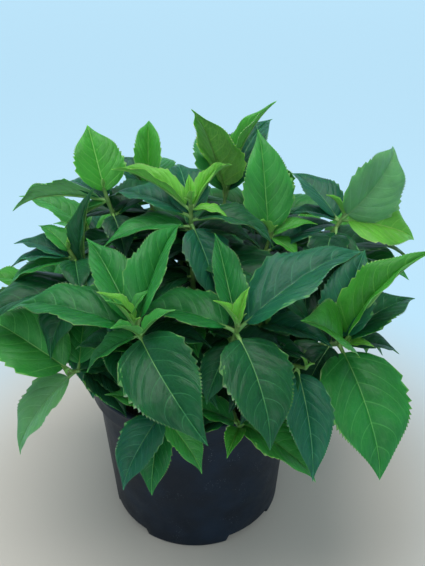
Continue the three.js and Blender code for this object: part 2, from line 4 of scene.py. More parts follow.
import bpy
import numpy as np
from mathutils.noise import noise as smooth_noise
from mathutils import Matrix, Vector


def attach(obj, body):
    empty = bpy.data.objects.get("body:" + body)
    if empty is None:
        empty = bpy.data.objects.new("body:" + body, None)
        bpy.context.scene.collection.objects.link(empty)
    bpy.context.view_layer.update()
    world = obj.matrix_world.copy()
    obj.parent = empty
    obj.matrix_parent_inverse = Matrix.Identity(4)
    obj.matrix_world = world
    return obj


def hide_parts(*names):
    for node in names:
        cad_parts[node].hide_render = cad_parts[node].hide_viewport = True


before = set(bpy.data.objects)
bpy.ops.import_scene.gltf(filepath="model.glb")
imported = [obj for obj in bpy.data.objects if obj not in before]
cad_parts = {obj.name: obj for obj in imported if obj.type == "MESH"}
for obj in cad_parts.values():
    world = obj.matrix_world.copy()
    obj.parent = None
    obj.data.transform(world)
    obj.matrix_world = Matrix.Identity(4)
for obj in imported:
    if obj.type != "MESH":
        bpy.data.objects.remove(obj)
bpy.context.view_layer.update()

MM = 0.001

# Camera: it stands close in front of the shrub, a little above it, and looks down on it.
PICTURE_HEIGHT = 566
FOCAL_LENGTH_PIXELS = 572
EYE = (0.014, -0.374, 0.399)
LOOK_DOWN = math.radians(28)

scene = bpy.context.scene
camera_data = bpy.data.cameras.new("camera")
camera_data.lens = camera_data.sensor_width * FOCAL_LENGTH_PIXELS / PICTURE_HEIGHT
camera_data.clip_start = 0.01
camera = bpy.data.objects.new("camera", camera_data)
camera.location = EYE
camera.rotation_euler = (math.pi / 2 - LOOK_DOWN, 0, 0)
scene.collection.objects.link(camera)
scene.camera = camera
scene.view_settings.view_transform = "Standard"


# Stage: a plain pale table that fades to a plain pale blue all round, under a broad soft light and
# a weaker one from the front. None of it is part of the shrub.
class Socket:
    """A node's output. Sums on it add Math nodes, and node() adds any other node to its tree."""

    def __init__(self, tree, output=None):
        self.tree = tree
        self.output = output

    def node(self, kind, settings=None, inputs=None, result=0):
        """Adds a node, sets its settings and then its inputs, and gives one of its outputs."""
        made = self.tree.nodes.new(kind)
        for name, value in (settings or {}).items():
            if name == "stops":
                self.set_stops(made.color_ramp, value)
            else:
                setattr(made, name, value)
        for name, value in (inputs or {}).items():
            socket = next(s for s in made.inputs if s.identifier == name)
            for one in value if isinstance(value, list) else [value]:
                if isinstance(one, Socket):
                    self.tree.links.new(one.output, socket)
                else:
                    socket.default_value = one
        return Socket(self.tree, made.outputs[result]) if len(made.outputs) else None

    @staticmethod
    def set_stops(ramp, stops):
        while len(ramp.elements) < len(stops):
            ramp.elements.new(0.5)
        for element, (place, colour) in zip(ramp.elements, stops):
            element.position = place
            element.color = colour

    def sum(self, operation, first, second=0.0):
        values = {"Value": first, "Value_001": second}
        return self.node("ShaderNodeMath", {"operation": operation}, values)

    def __add__(self, other):
        return self.sum("ADD", self, other)

    def __sub__(self, other):
        return self.sum("SUBTRACT", self, other)

    def __rsub__(self, other):
        return self.sum("SUBTRACT", other, self)

    def __mul__(self, other):
        return self.sum("MULTIPLY", self, other)

    def __abs__(self):
        return self.sum("ABSOLUTE", self)

    __radd__ = __add__
    __rmul__ = __mul__

    def rises(self, low, high):
        """0 up to `low`, 1 from `high` on, and smooth between them; falls where high is below low."""
        first, last = (0.0, 1.0) if low < high else (1.0, 0.0)
        inputs = {"Value": self, "From Min": min(low, high), "From Max": max(low, high)}
        inputs.update({"To Min": first, "To Max": last})
        return self.node("ShaderNodeMapRange", {"interpolation_type": "SMOOTHSTEP"}, inputs)

    def mixed(self, one, other):
        """Colour `one` where this socket is 0 and `other` where it is 1."""
        inputs = {"Factor_Float": self, "A_Color": one, "B_Color": other}
        return self.node("ShaderNodeMix", {"data_type": "RGBA"}, inputs, 2)

    def noise(self, place, scale, detail=3.0):
        inputs = {"Vector": place, "Scale": scale, "Detail": detail}
        return self.node("ShaderNodeTexNoise", None, inputs)

    def bumped(self, strength, depth):
        """A normal from this socket as a height."""
        inputs = {"Strength": strength, "Distance": depth, "Height": self}
        return self.node("ShaderNodeBump", None, inputs)

    def feeds(self, shader, name):
        self.tree.links.new(self.output, shader.inputs[name])


def new_finish(name, **constants):
    """A material, a socket to start its nodes from, its shader and its Object coordinates."""
    material = bpy.data.materials.new(name)
    material.use_nodes = True
    nodes = Socket(material.node_tree)
    shader = material.node_tree.nodes["Principled BSDF"]
    for socket, value in constants.items():
        shader.inputs[socket.replace("_", " ")].default_value = value
    return material, nodes, shader, nodes.node("ShaderNodeTexCoord", result=3)


def colour(red, green, blue):
    """A colour as it looks on a screen, from 0 to 255, as the light that it reflects."""
    parts = [value / 255 for value in (red, green, blue)]
    lit = [part / 12.92 if part <= 0.04045 else ((part + 0.055) / 1.055) ** 2.4 for part in parts]
    return (*lit, 1.0)


def new_object(name, mesh):
    made = bpy.data.objects.new(name, mesh)
    scene.collection.objects.link(made)
    return made


FLOOR_REACH = 40.0
FLOOR_WARM = colour(194, 184, 172)
FLOOR_COOL = colour(70, 77, 85)
FLOOR_GLOW = (0.44, 0.69, 0.85, 1.0)
FADE_FROM = 0.16
FADE_TO = 0.42


def floor_finish():
    material, nodes, shader, place = new_finish("pale_table", Roughness=0.9, Emission_Strength=1.0)
    away = nodes.node("ShaderNodeVectorMath", {"operation": "LENGTH"}, {"Vector": place}, 1)
    far = away.rises(FADE_FROM, FADE_TO)
    far.mixed(FLOOR_WARM, FLOOR_COOL).feeds(shader, "Base Color")
    far.mixed((0.0, 0.0, 0.0, 1.0), FLOOR_GLOW).feeds(shader, "Emission Color")
    nodes.noise(place, 900).bumped(0.15, 0.0004).feeds(shader, "Normal")
    return material


floor_mesh = bpy.data.meshes.new("floor")
corners = [(x * FLOOR_REACH, y * FLOOR_REACH, 0) for x, y in [(-1, -1), (1, -1), (1, 1), (-1, 1)]]
floor_mesh.from_pydata(corners, [], [(0, 1, 2, 3)])
floor_mesh.materials.append(floor_finish())
floor = new_object("floor", floor_mesh)

world = bpy.data.worlds.new("soft_room")
world.use_nodes = True
room = Socket(world.node_tree)
room_side = room.node("ShaderNodeTexCoord", result=0)
room_height = room.node("ShaderNodeSeparateXYZ", None, {"Vector": room_side}, 2)
walls_and_ceiling = room_height.rises(0.2, 0.8).mixed(colour(196, 230, 248), colour(156, 168, 176))
walls_and_ceiling.feeds(world.node_tree.nodes["Background"], "Color")
scene.world = world


def soft_light(name, place, aim, size, power, tint):
    """A square lamp that looks at `aim`."""
    lamp = bpy.data.lights.new(name, "AREA")
    lamp.size = size
    lamp.energy = power
    lamp.color = tint
    holder = new_object(name, lamp)
    holder.location = place
    holder.rotation_euler = (Vector(aim) - Vector(place)).to_track_quat("-Z", "Y").to_euler()


soft_light("broad_light", (-0.12, 0.0, 1.3), (0, 0, 0.2), 1.0, 16.0, (0.94, 0.98, 1.0))
soft_light("front_light", (0.1, -1.3, 0.7), (0, 0, 0.2), 0.9, 5.2, (0.95, 0.98, 1.0))


# Pot: a thin black plastic shell, blow-moulded in one piece, with a deep band under its rolled lip.
# It stands on four short arcs of a foot ring and a round pad in the middle.
def grid_faces(numbers):
    """Faces between the rows of a grid of point numbers. A row of one point gives triangles."""
    corners = [numbers[:-1, :-1], numbers[:-1, 1:], numbers[1:, 1:], numbers[1:, :-1]]
    faces = np.stack(corners, -1).reshape(-1, 4)
    faces[faces[:, 0] == faces[:, 1], 1] = -1
    faces[faces[:, 2] == faces[:, 3], 3] = -1
    return faces


def round_numbers(rows, sides):
    """Point numbers of a round closed shape: its first and last rows are one point each."""
    numbers = np.arange(rows * sides).reshape(rows, sides) - sides + 1
    numbers[0] = 0
    numbers[-1] = numbers[-2].max() + 1
    return np.column_stack([numbers, numbers[:, :1]])


def mesh_of(name, points, faces, materials, slots=None):
    """A smooth mesh from points in metres and faces of four point numbers, or three and -1."""
    mesh = bpy.data.meshes.new(name)
    counts = (faces >= 0).sum(1)
    corners = faces[faces >= 0]
    mesh.vertices.add(len(points))
    mesh.vertices.foreach_set("co", np.asarray(points, dtype=np.float32).ravel())
    mesh.loops.add(len(corners))
    mesh.loops.foreach_set("vertex_index", corners.astype(np.int32))
    mesh.polygons.add(len(counts))
    mesh.polygons.foreach_set("loop_start", (np.cumsum(counts) - counts).astype(np.int32))
    for material in materials:
        mesh.materials.append(material)
    if slots is not None:
        mesh.polygons.foreach_set("material_index", slots.astype(np.int32))
    mesh.update(calc_edges=True)
    mesh.shade_smooth()
    return mesh


def round_mesh(name, rings, materials):
    """A closed round mesh from rings of points, the first and last of which shrink to a point."""
    rows, sides = rings.shape[:2]
    points = np.concatenate([rings[0, :1], rings[1:-1].reshape(-1, 3), rings[-1, :1]])
    return mesh_of(name, points, grid_faces(round_numbers(rows, sides)), materials)


CLEARANCE = 0.3
POT_SIDES = 192
POT_HEIGHT = 135
RIM_RADIUS = 84
LIP_WIDTH = 4
LIP_ROUND = 2
BAND_HEIGHT = 17
BAND_TAPER = 1.6
BAND_EDGE_ROUND = 1.2
SHOULDER_RADIUS = 77.5
SHOULDER_DROP = 3
FOOT_RADIUS = 71
WALL = 1.8
FEET = 4
FOOT_HEIGHT = 7
FOOT_RING_WIDTH = 12
FOOT_ARC = 54
FIRST_FOOT = -96
FOOT_ROUND = 3
FLOOR_TOP = 10
INSIDE_FOOT_RADIUS = FOOT_RADIUS - 2 * WALL
PAD_RADIUS = 22
EDGE_ROUND = 1
DRAIN_RADIUS = 5
DRAIN_DISTANCE = 45
DRAIN_SIDES = 24
DRAIN_CUT_FROM = -2
DRAIN_CUT_TO = 12
INSIDE_RING = 20
WALL_WAVES = [(3, 0.12, 0.6), (5, 0.08, 2.1)]


def arc(middle, radius, first, last, steps=6):
    """Points on an arc of the profile; bearings in degrees, 0 outwards and 90 up."""
    bearings = np.radians(np.linspace(first, last, steps))
    return [(middle[0] + radius * math.cos(b), middle[1] + radius * math.sin(b)) for b in bearings]


def line(start, end, steps):
    """Points inside a straight stretch of the profile, without its ends."""
    return [tuple(np.add(start, np.subtract(end, start) * i / steps)) for i in range(1, steps)]


def pot_profile():
    """Radius and height in millimetres, from the middle of the underside round to the inside floor."""
    band_bottom = POT_HEIGHT - BAND_HEIGHT
    band_foot = RIM_RADIUS - BAND_TAPER
    foot_inside = FOOT_RADIUS - FOOT_RING_WIDTH
    shoulder = (SHOULDER_RADIUS, band_bottom - SHOULDER_DROP)
    profile = [(0, 0), (PAD_RADIUS - EDGE_ROUND, 0)]
    profile += arc((PAD_RADIUS - 0.4, EDGE_ROUND), EDGE_ROUND, -90, 0, 4)
    profile += arc((PAD_RADIUS + WALL, FOOT_HEIGHT - EDGE_ROUND), EDGE_ROUND, 180, 90, 4)
    profile += line((PAD_RADIUS + 2, FOOT_HEIGHT), (foot_inside - 1, FOOT_HEIGHT), 8)
    profile += [(foot_inside, FOOT_HEIGHT)]
    profile += arc((foot_inside + 2.2, EDGE_ROUND), EDGE_ROUND, 180, 270, 4)
    profile += arc((FOOT_RADIUS - FOOT_ROUND, FOOT_ROUND), FOOT_ROUND, -90, -2, 8)
    profile += line((FOOT_RADIUS, FOOT_ROUND), shoulder, 14)
    profile += [shoulder]
    profile += arc((SHOULDER_RADIUS + 2.4, band_bottom - 2.6), 2.2, 180, 100, 5)
    band_edge = (band_foot - BAND_EDGE_ROUND, band_bottom + BAND_EDGE_ROUND)
    profile += arc(band_edge, BAND_EDGE_ROUND, -90, 0, 5)
    band_top = (RIM_RADIUS - 0.9, POT_HEIGHT - 4.4)
    profile += line((band_foot, band_bottom + BAND_EDGE_ROUND), band_top, 5)
    profile += arc((RIM_RADIUS - LIP_ROUND, POT_HEIGHT - LIP_ROUND), LIP_ROUND, -48, 90, 9)
    inside = RIM_RADIUS - LIP_WIDTH
    profile += arc((inside + EDGE_ROUND, POT_HEIGHT - EDGE_ROUND), EDGE_ROUND, 90, 180, 4)
    inner_shoulder = (SHOULDER_RADIUS - WALL, band_bottom - WALL)
    profile += line((inside, POT_HEIGHT - EDGE_ROUND), (inside, band_bottom + 3), 4)
    profile += arc((inside - 2, band_bottom + 3), 2, 0, -80, 4)
    profile += [inner_shoulder]
    inner_foot = (INSIDE_FOOT_RADIUS, FLOOR_TOP)
    profile += line(inner_shoulder, inner_foot, 6)
    profile += [inner_foot, (INSIDE_RING, FLOOR_TOP), (0, FLOOR_TOP)]
    return np.array(profile)


def rings_of(profile, sides):
    """Rings of points round the middle, from a profile of radii and heights."""
    bearing = np.linspace(0, 2 * math.pi, sides, endpoint=False)
    radius = np.repeat(profile[:, :1], sides, 1)
    height = np.repeat(profile[:, 1:], sides, 1)
    return np.stack([radius * np.cos(bearing), radius * np.sin(bearing), height], -1)


def pot_rings():
    """The pot's rings: the foot ring is lifted between the feet, and the wall isn't quite round."""
    profile = pot_profile()
    pitch = 360 / FEET
    turns = np.linspace(0, 360, POT_SIDES, endpoint=False)
    from_gap = np.abs((turns - FIRST_FOOT) % pitch - pitch / 2)
    lifted = from_gap < (pitch - FOOT_ARC) / 2
    bearing = np.radians(turns)
    radius, height = profile[:, :1], profile[:, 1:]
    over_gap = (radius > FOOT_RADIUS - FOOT_RING_WIDTH - 0.5) & lifted
    height = np.where(over_gap, np.maximum(height, FOOT_HEIGHT), height)
    wave = sum(size * np.sin(count * bearing + turn) for count, size, turn in WALL_WAVES)
    radius = radius + wave * (height / POT_HEIGHT) * (radius > FOOT_RADIUS - 2 * FOOT_ROUND)
    return np.stack([radius * np.cos(bearing), radius * np.sin(bearing), height], -1) * MM


def pot_finish():
    material, nodes, shader, place = new_finish("black_plastic", Specular_IOR_Level=0.22)
    grime = nodes.noise(place, 38, 5.0)
    body = grime.rises(0.35, 0.75).mixed(colour(3, 15, 27), colour(8, 26, 42))
    cells = {"Vector": place, "Scale": 620.0, "Randomness": 1.0}
    distance = nodes.node("ShaderNodeTexVoronoi", None, cells)
    patches = nodes.noise(place, 60, 2.0).rises(0.5, 0.8)
    specks = distance.rises(0.2, 0.1) * patches
    dusted = specks.mixed(body, colour(120, 126, 132))
    dusted.feeds(shader, "Base Color")
    (nodes.noise(place, 95, 4.0) * 0.25 + 0.36 + specks * 0.2).feeds(shader, "Roughness")
    grain = nodes.noise(place, 1300, 2.0) + nodes.noise(place, 120, 3.0) * 1.5
    grain.bumped(0.22, 0.0003).feeds(shader, "Normal")
    return material


def with_drain_holes(body):
    """The pot with a drain hole through its floor by each gap between the feet."""
    low, high = DRAIN_CUT_FROM, DRAIN_CUT_TO
    cutter_profile = np.array([(0, low), (DRAIN_RADIUS, low), (DRAIN_RADIUS, high), (0, high)])
    rings = rings_of(cutter_profile, DRAIN_SIDES)
    for gap in range(FEET):
        bearing = math.radians(FIRST_FOOT + (gap + 0.5) * 360 / FEET)
        middle = [DRAIN_DISTANCE * math.cos(bearing), DRAIN_DISTANCE * math.sin(bearing), 0]
        cutter = new_object("drain_cutter", round_mesh("drain_cutter", (rings + middle) * MM, []))
        cut = body.modifiers.new("drain_hole", "BOOLEAN")
        cut.operation = "DIFFERENCE"
        cut.object = cutter
        cut.solver = "EXACT"
        depsgraph = bpy.context.evaluated_depsgraph_get()
        body.data = bpy.data.meshes.new_from_object(body.evaluated_get(depsgraph))
        body.modifiers.clear()
        bpy.data.objects.remove(cutter)
    return body


pot = with_drain_holes(new_object("nursery_pot", round_mesh("nursery_pot", pot_rings(), [pot_finish()])))
pot.data.set_sharp_from_angle(angle=math.radians(40))
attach(pot, "root")
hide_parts("pot", "pot_band", "pot_base")


# Potting mix: dark damp peat with crumbs and bark chips, heaped a little round the crown.
# It fills the pot to just below the band.
SOIL_TOP = 114
SOIL_SIDES = 144
SOIL_RADIUS = SHOULDER_RADIUS - WALL - 2 * CLEARANCE
SOIL_ROWS = 46
SOIL_HEAP = 3
SOIL_LUMPS = [(1.6, 9, 3), (0.7, 3, 5)]
CRUMB_DENSITY = 90000.0
CHIP_DENSITY = 9000.0


def lumps(points, layers):
    """Smooth repeatable lumps at points in millimetres: each layer is a height, a width and a seed."""
    total = 0
    for height, width, seed in layers:
        aside = Vector((seed, 0, 0))
        total = total + height * np.array([smooth_noise(Vector(p) / width + aside) for p in points])
    return total


def soil_rings():
    radii = np.linspace(0, SOIL_RADIUS, SOIL_ROWS)[::-1]
    top = SOIL_TOP - SOIL_HEAP * (radii / SOIL_RADIUS) ** 2
    bottom = FLOOR_TOP + CLEARANCE
    profile = [(0, bottom), (INSIDE_FOOT_RADIUS - CLEARANCE, bottom), *zip(radii, top)]
    rings = rings_of(np.array(profile), SOIL_SIDES)
    surface = rings[3:-1].reshape(-1, 3)
    surface[:, 2] += lumps(surface, SOIL_LUMPS)
    rings[3:-1] = surface.reshape(rings[3:-1].shape)
    return rings * MM


def soil_finish(name, dark, light):
    material, nodes, shader, place = new_finish(name, Roughness=0.95)
    nodes.noise(place, 260, 5.0).rises(0.3, 0.7).mixed(dark, light).feeds(shader, "Base Color")
    nodes.noise(place, 900, 4.0).bumped(0.6, 0.0006).feeds(shader, "Normal")
    return material


def tree_of(name, inputs):
    """A Geometry Nodes tree with named inputs, the sockets they give, and its output."""
    tree = bpy.data.node_groups.new(name, "GeometryNodeTree")
    tree.interface.new_socket("Geometry", in_out="OUTPUT", socket_type="NodeSocketGeometry")
    for label, kind in inputs:
        tree.interface.new_socket(label, in_out="INPUT", socket_type="NodeSocket" + kind)
    entry = tree.nodes.new("NodeGroupInput")
    exit_node = tree.nodes.new("NodeGroupOutput")
    given = {label: Socket(tree, entry.outputs[i]) for i, (label, _) in enumerate(inputs)}
    return tree, Socket(tree), given, exit_node


def grown(name, source, tree, values):
    """An object with the plain mesh that a Geometry Nodes tree makes from a source mesh."""
    holder = new_object(name, source)
    modifier = holder.modifiers.new("growth", "NODES")
    modifier.node_group = tree
    for item in tree.interface.items_tree:
        if item.in_out == "INPUT" and item.name in values:
            modifier[item.identifier] = values[item.name]
    depsgraph = bpy.context.evaluated_depsgraph_get()
    made = bpy.data.meshes.new_from_object(holder.evaluated_get(depsgraph))
    holder.modifiers.clear()
    holder.data = made
    made.name = name
    return holder


def end_tree(tree, nodes, geometry, material, exit_node):
    """Ends a Geometry Nodes tree: its instances are made real and get their material."""
    real = nodes.node("GeometryNodeRealizeInstances", None, {"Geometry": geometry})
    done = nodes.node("GeometryNodeSetMaterial", None, {"Geometry": real, "Material": material})
    tree.links.new(done.output, exit_node.inputs[0])
    return tree


def crumb_tree():
    """Small lumps scattered over the upward faces of a mesh, each turned and sized by chance."""
    inputs = [("Surface", "Geometry"), ("Density", "Float"), ("Size", "Float"), ("Flatness", "Float")]
    inputs += [("Seed", "Int"), ("Material", "Material")]
    tree, nodes, given, exit_node = tree_of("crumbs", inputs)
    normal = nodes.node("GeometryNodeInputNormal")
    upward = nodes.node("ShaderNodeSeparateXYZ", None, {"Vector": normal}, 2)
    chosen = nodes.sum("GREATER_THAN", upward, 0.5)
    spread = {"Mesh": given["Surface"], "Selection": chosen, "Density": given["Density"]}
    spread["Seed"] = given["Seed"]
    points = nodes.node("GeometryNodeDistributePointsOnFaces", None, spread)
    lump = nodes.node("GeometryNodeMeshIcoSphere", None, {"Radius": given["Size"], "Subdivisions": 1})
    turn = {"Min": (0, 0, 0), "Max": (6.28, 6.28, 6.28), "Seed": given["Seed"]}
    turned = nodes.node("FunctionNodeRandomValue", {"data_type": "FLOAT_VECTOR"}, turn)
    sizes = {"Min": (0.4, 0.4, 0.3), "Max": (1.5, 1.2, 1.0), "Seed": given["Seed"]}
    size = nodes.node("FunctionNodeRandomValue", {"data_type": "FLOAT_VECTOR"}, sizes)
    flat = nodes.node("ShaderNodeCombineXYZ", None, {"X": 1.0, "Y": 1.0, "Z": given["Flatness"]})
    scale = nodes.node(
        "ShaderNodeVectorMath", {"operation": "MULTIPLY"}, {"Vector": size, "Vector_001": flat}
    )
    laid = {"Points": points, "Instance": lump, "Rotation": turned, "Scale": scale}
    scattered = nodes.node("GeometryNodeInstanceOnPoints", None, laid)
    return end_tree(tree, nodes, scattered, given["Material"], exit_node)


peat = soil_finish("damp_peat", colour(20, 15, 12), colour(52, 40, 30))
bark_chip = soil_finish("bark_chip", colour(58, 42, 30), colour(104, 80, 56))
soil_mesh = round_mesh("potting_mix", soil_rings(), [peat])
crumbs = crumb_tree()
crumb_values = {"Density": CRUMB_DENSITY, "Size": 0.0012, "Flatness": 0.8, "Seed": 4, "Material": peat}
chip_values = {"Density": CHIP_DENSITY, "Size": 0.0028, "Flatness": 0.45, "Seed": 9}
chip_values["Material"] = bark_chip
soil = new_object("potting_mix", soil_mesh)
soil_crumbs = grown("potting_mix_crumbs", soil_mesh, crumbs, crumb_values)
soil_chips = grown("potting_mix_chips", soil_mesh, crumbs, chip_values)
for piece in (soil, soil_crumbs, soil_chips):
    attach(piece, "root")
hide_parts("soil")


# Crown: the short woody base that every cane springs from, ridged and lumpy with old bark.
# It sits on the potting mix and flares a little there.
CROWN_RADIUS = 27
CROWN_BOTTOM = SOIL_TOP + CLEARANCE
CROWN_TOP = CROWN_BOTTOM + 12
CROWN_FOOT = CROWN_RADIUS + 1
CROWN_ROUND = 3
CROWN_SIDES = 120
BARK_RIDGES = [(1.5, 9, 11), (0.8, 2.5, 13)]
TOP_LUMPS = [(0.8, 5, 17)]


def crown_rings():
    profile = [(0, CROWN_BOTTOM), (CROWN_FOOT, CROWN_BOTTOM)]
    profile += arc((CROWN_FOOT, CROWN_BOTTOM + 2), 2, -90, 60, 6)
    profile += line((CROWN_FOOT, CROWN_BOTTOM + 4), (CROWN_RADIUS, CROWN_TOP - CROWN_ROUND), 6)
    profile += arc((CROWN_RADIUS - CROWN_ROUND, CROWN_TOP - CROWN_ROUND), CROWN_ROUND, 0, 90, 6)
    profile += line((CROWN_RADIUS - CROWN_ROUND, CROWN_TOP), (0, CROWN_TOP), 14)
    profile += [(0, CROWN_TOP)]
    rings = rings_of(np.array(profile), CROWN_SIDES)
    inside = rings[1:-1].reshape(-1, 3)
    stretched = inside * (1, 1, 0.3)
    push = lumps(stretched, BARK_RIDGES)
    inside[:, :2] *= 1 + push[:, None] / CROWN_RADIUS
    inside[:, 2] += np.where(inside[:, 2] > CROWN_TOP - 2, lumps(inside, TOP_LUMPS), 0)
    rings[1:-1] = inside.reshape(rings[1:-1].shape)
    return rings * MM


def bark_finish(name, dark, light, green):
    """Thin fibrous bark, split lengthwise, with a green flush in its smooth patches."""
    material, nodes, shader, place = new_finish(name, Roughness=0.85)
    lengthwise = nodes.node("ShaderNodeMapping", None, {"Vector": place, "Scale": (1.0, 1.0, 0.18)})
    fibre = nodes.noise(lengthwise, 1500, 4.0)
    wood = fibre.rises(0.32, 0.68).mixed(dark, light)
    flush = nodes.noise(place, 70, 3.0).rises(0.52, 0.7)
    flush.mixed(wood, green).feeds(shader, "Base Color")
    (fibre + nodes.noise(place, 260, 3.0)).bumped(0.7, 0.0006).feeds(shader, "Normal")
    return material


old_bark = bark_finish("old_bark", colour(52, 38, 26), colour(124, 100, 70), colour(84, 84, 48))
crown = new_object("crown_base", round_mesh("crown_base", crown_rings(), [old_bark]))
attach(crown, "root")
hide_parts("crown")


# Shoots: where each growing tip stands and how its leaves sit, in millimetres and degrees.
# A leaf sits `down` the stem from the tip and points along its bearing (0 right, 90 back, 180 left,
# 270 front) and rise. fold is the V along its midrib, bend its arch, roll its turn about its length.
# tone is its age and light: from dark and blue, the oldest, to fresh and young. The blue tone is partly a
# painted bluish sheen on old leaves, and the pale blue-green tone of a few leaves that face the light is a
# painted sheen.
def leaf(down, bearing, rise, length, tone="dark", **own):
    usual = {"roll": 0, "fold": 18, "bend": 35, "width": 0.56}
    place = {"down": down, "bearing": bearing, "rise": rise, "length": length, "tone": tone}
    return {**usual, **place, **own}


FOLDED = {"fold": 46, "width": 0.45}
BROAD = {"fold": 10, "width": 0.66, "bend": 55}

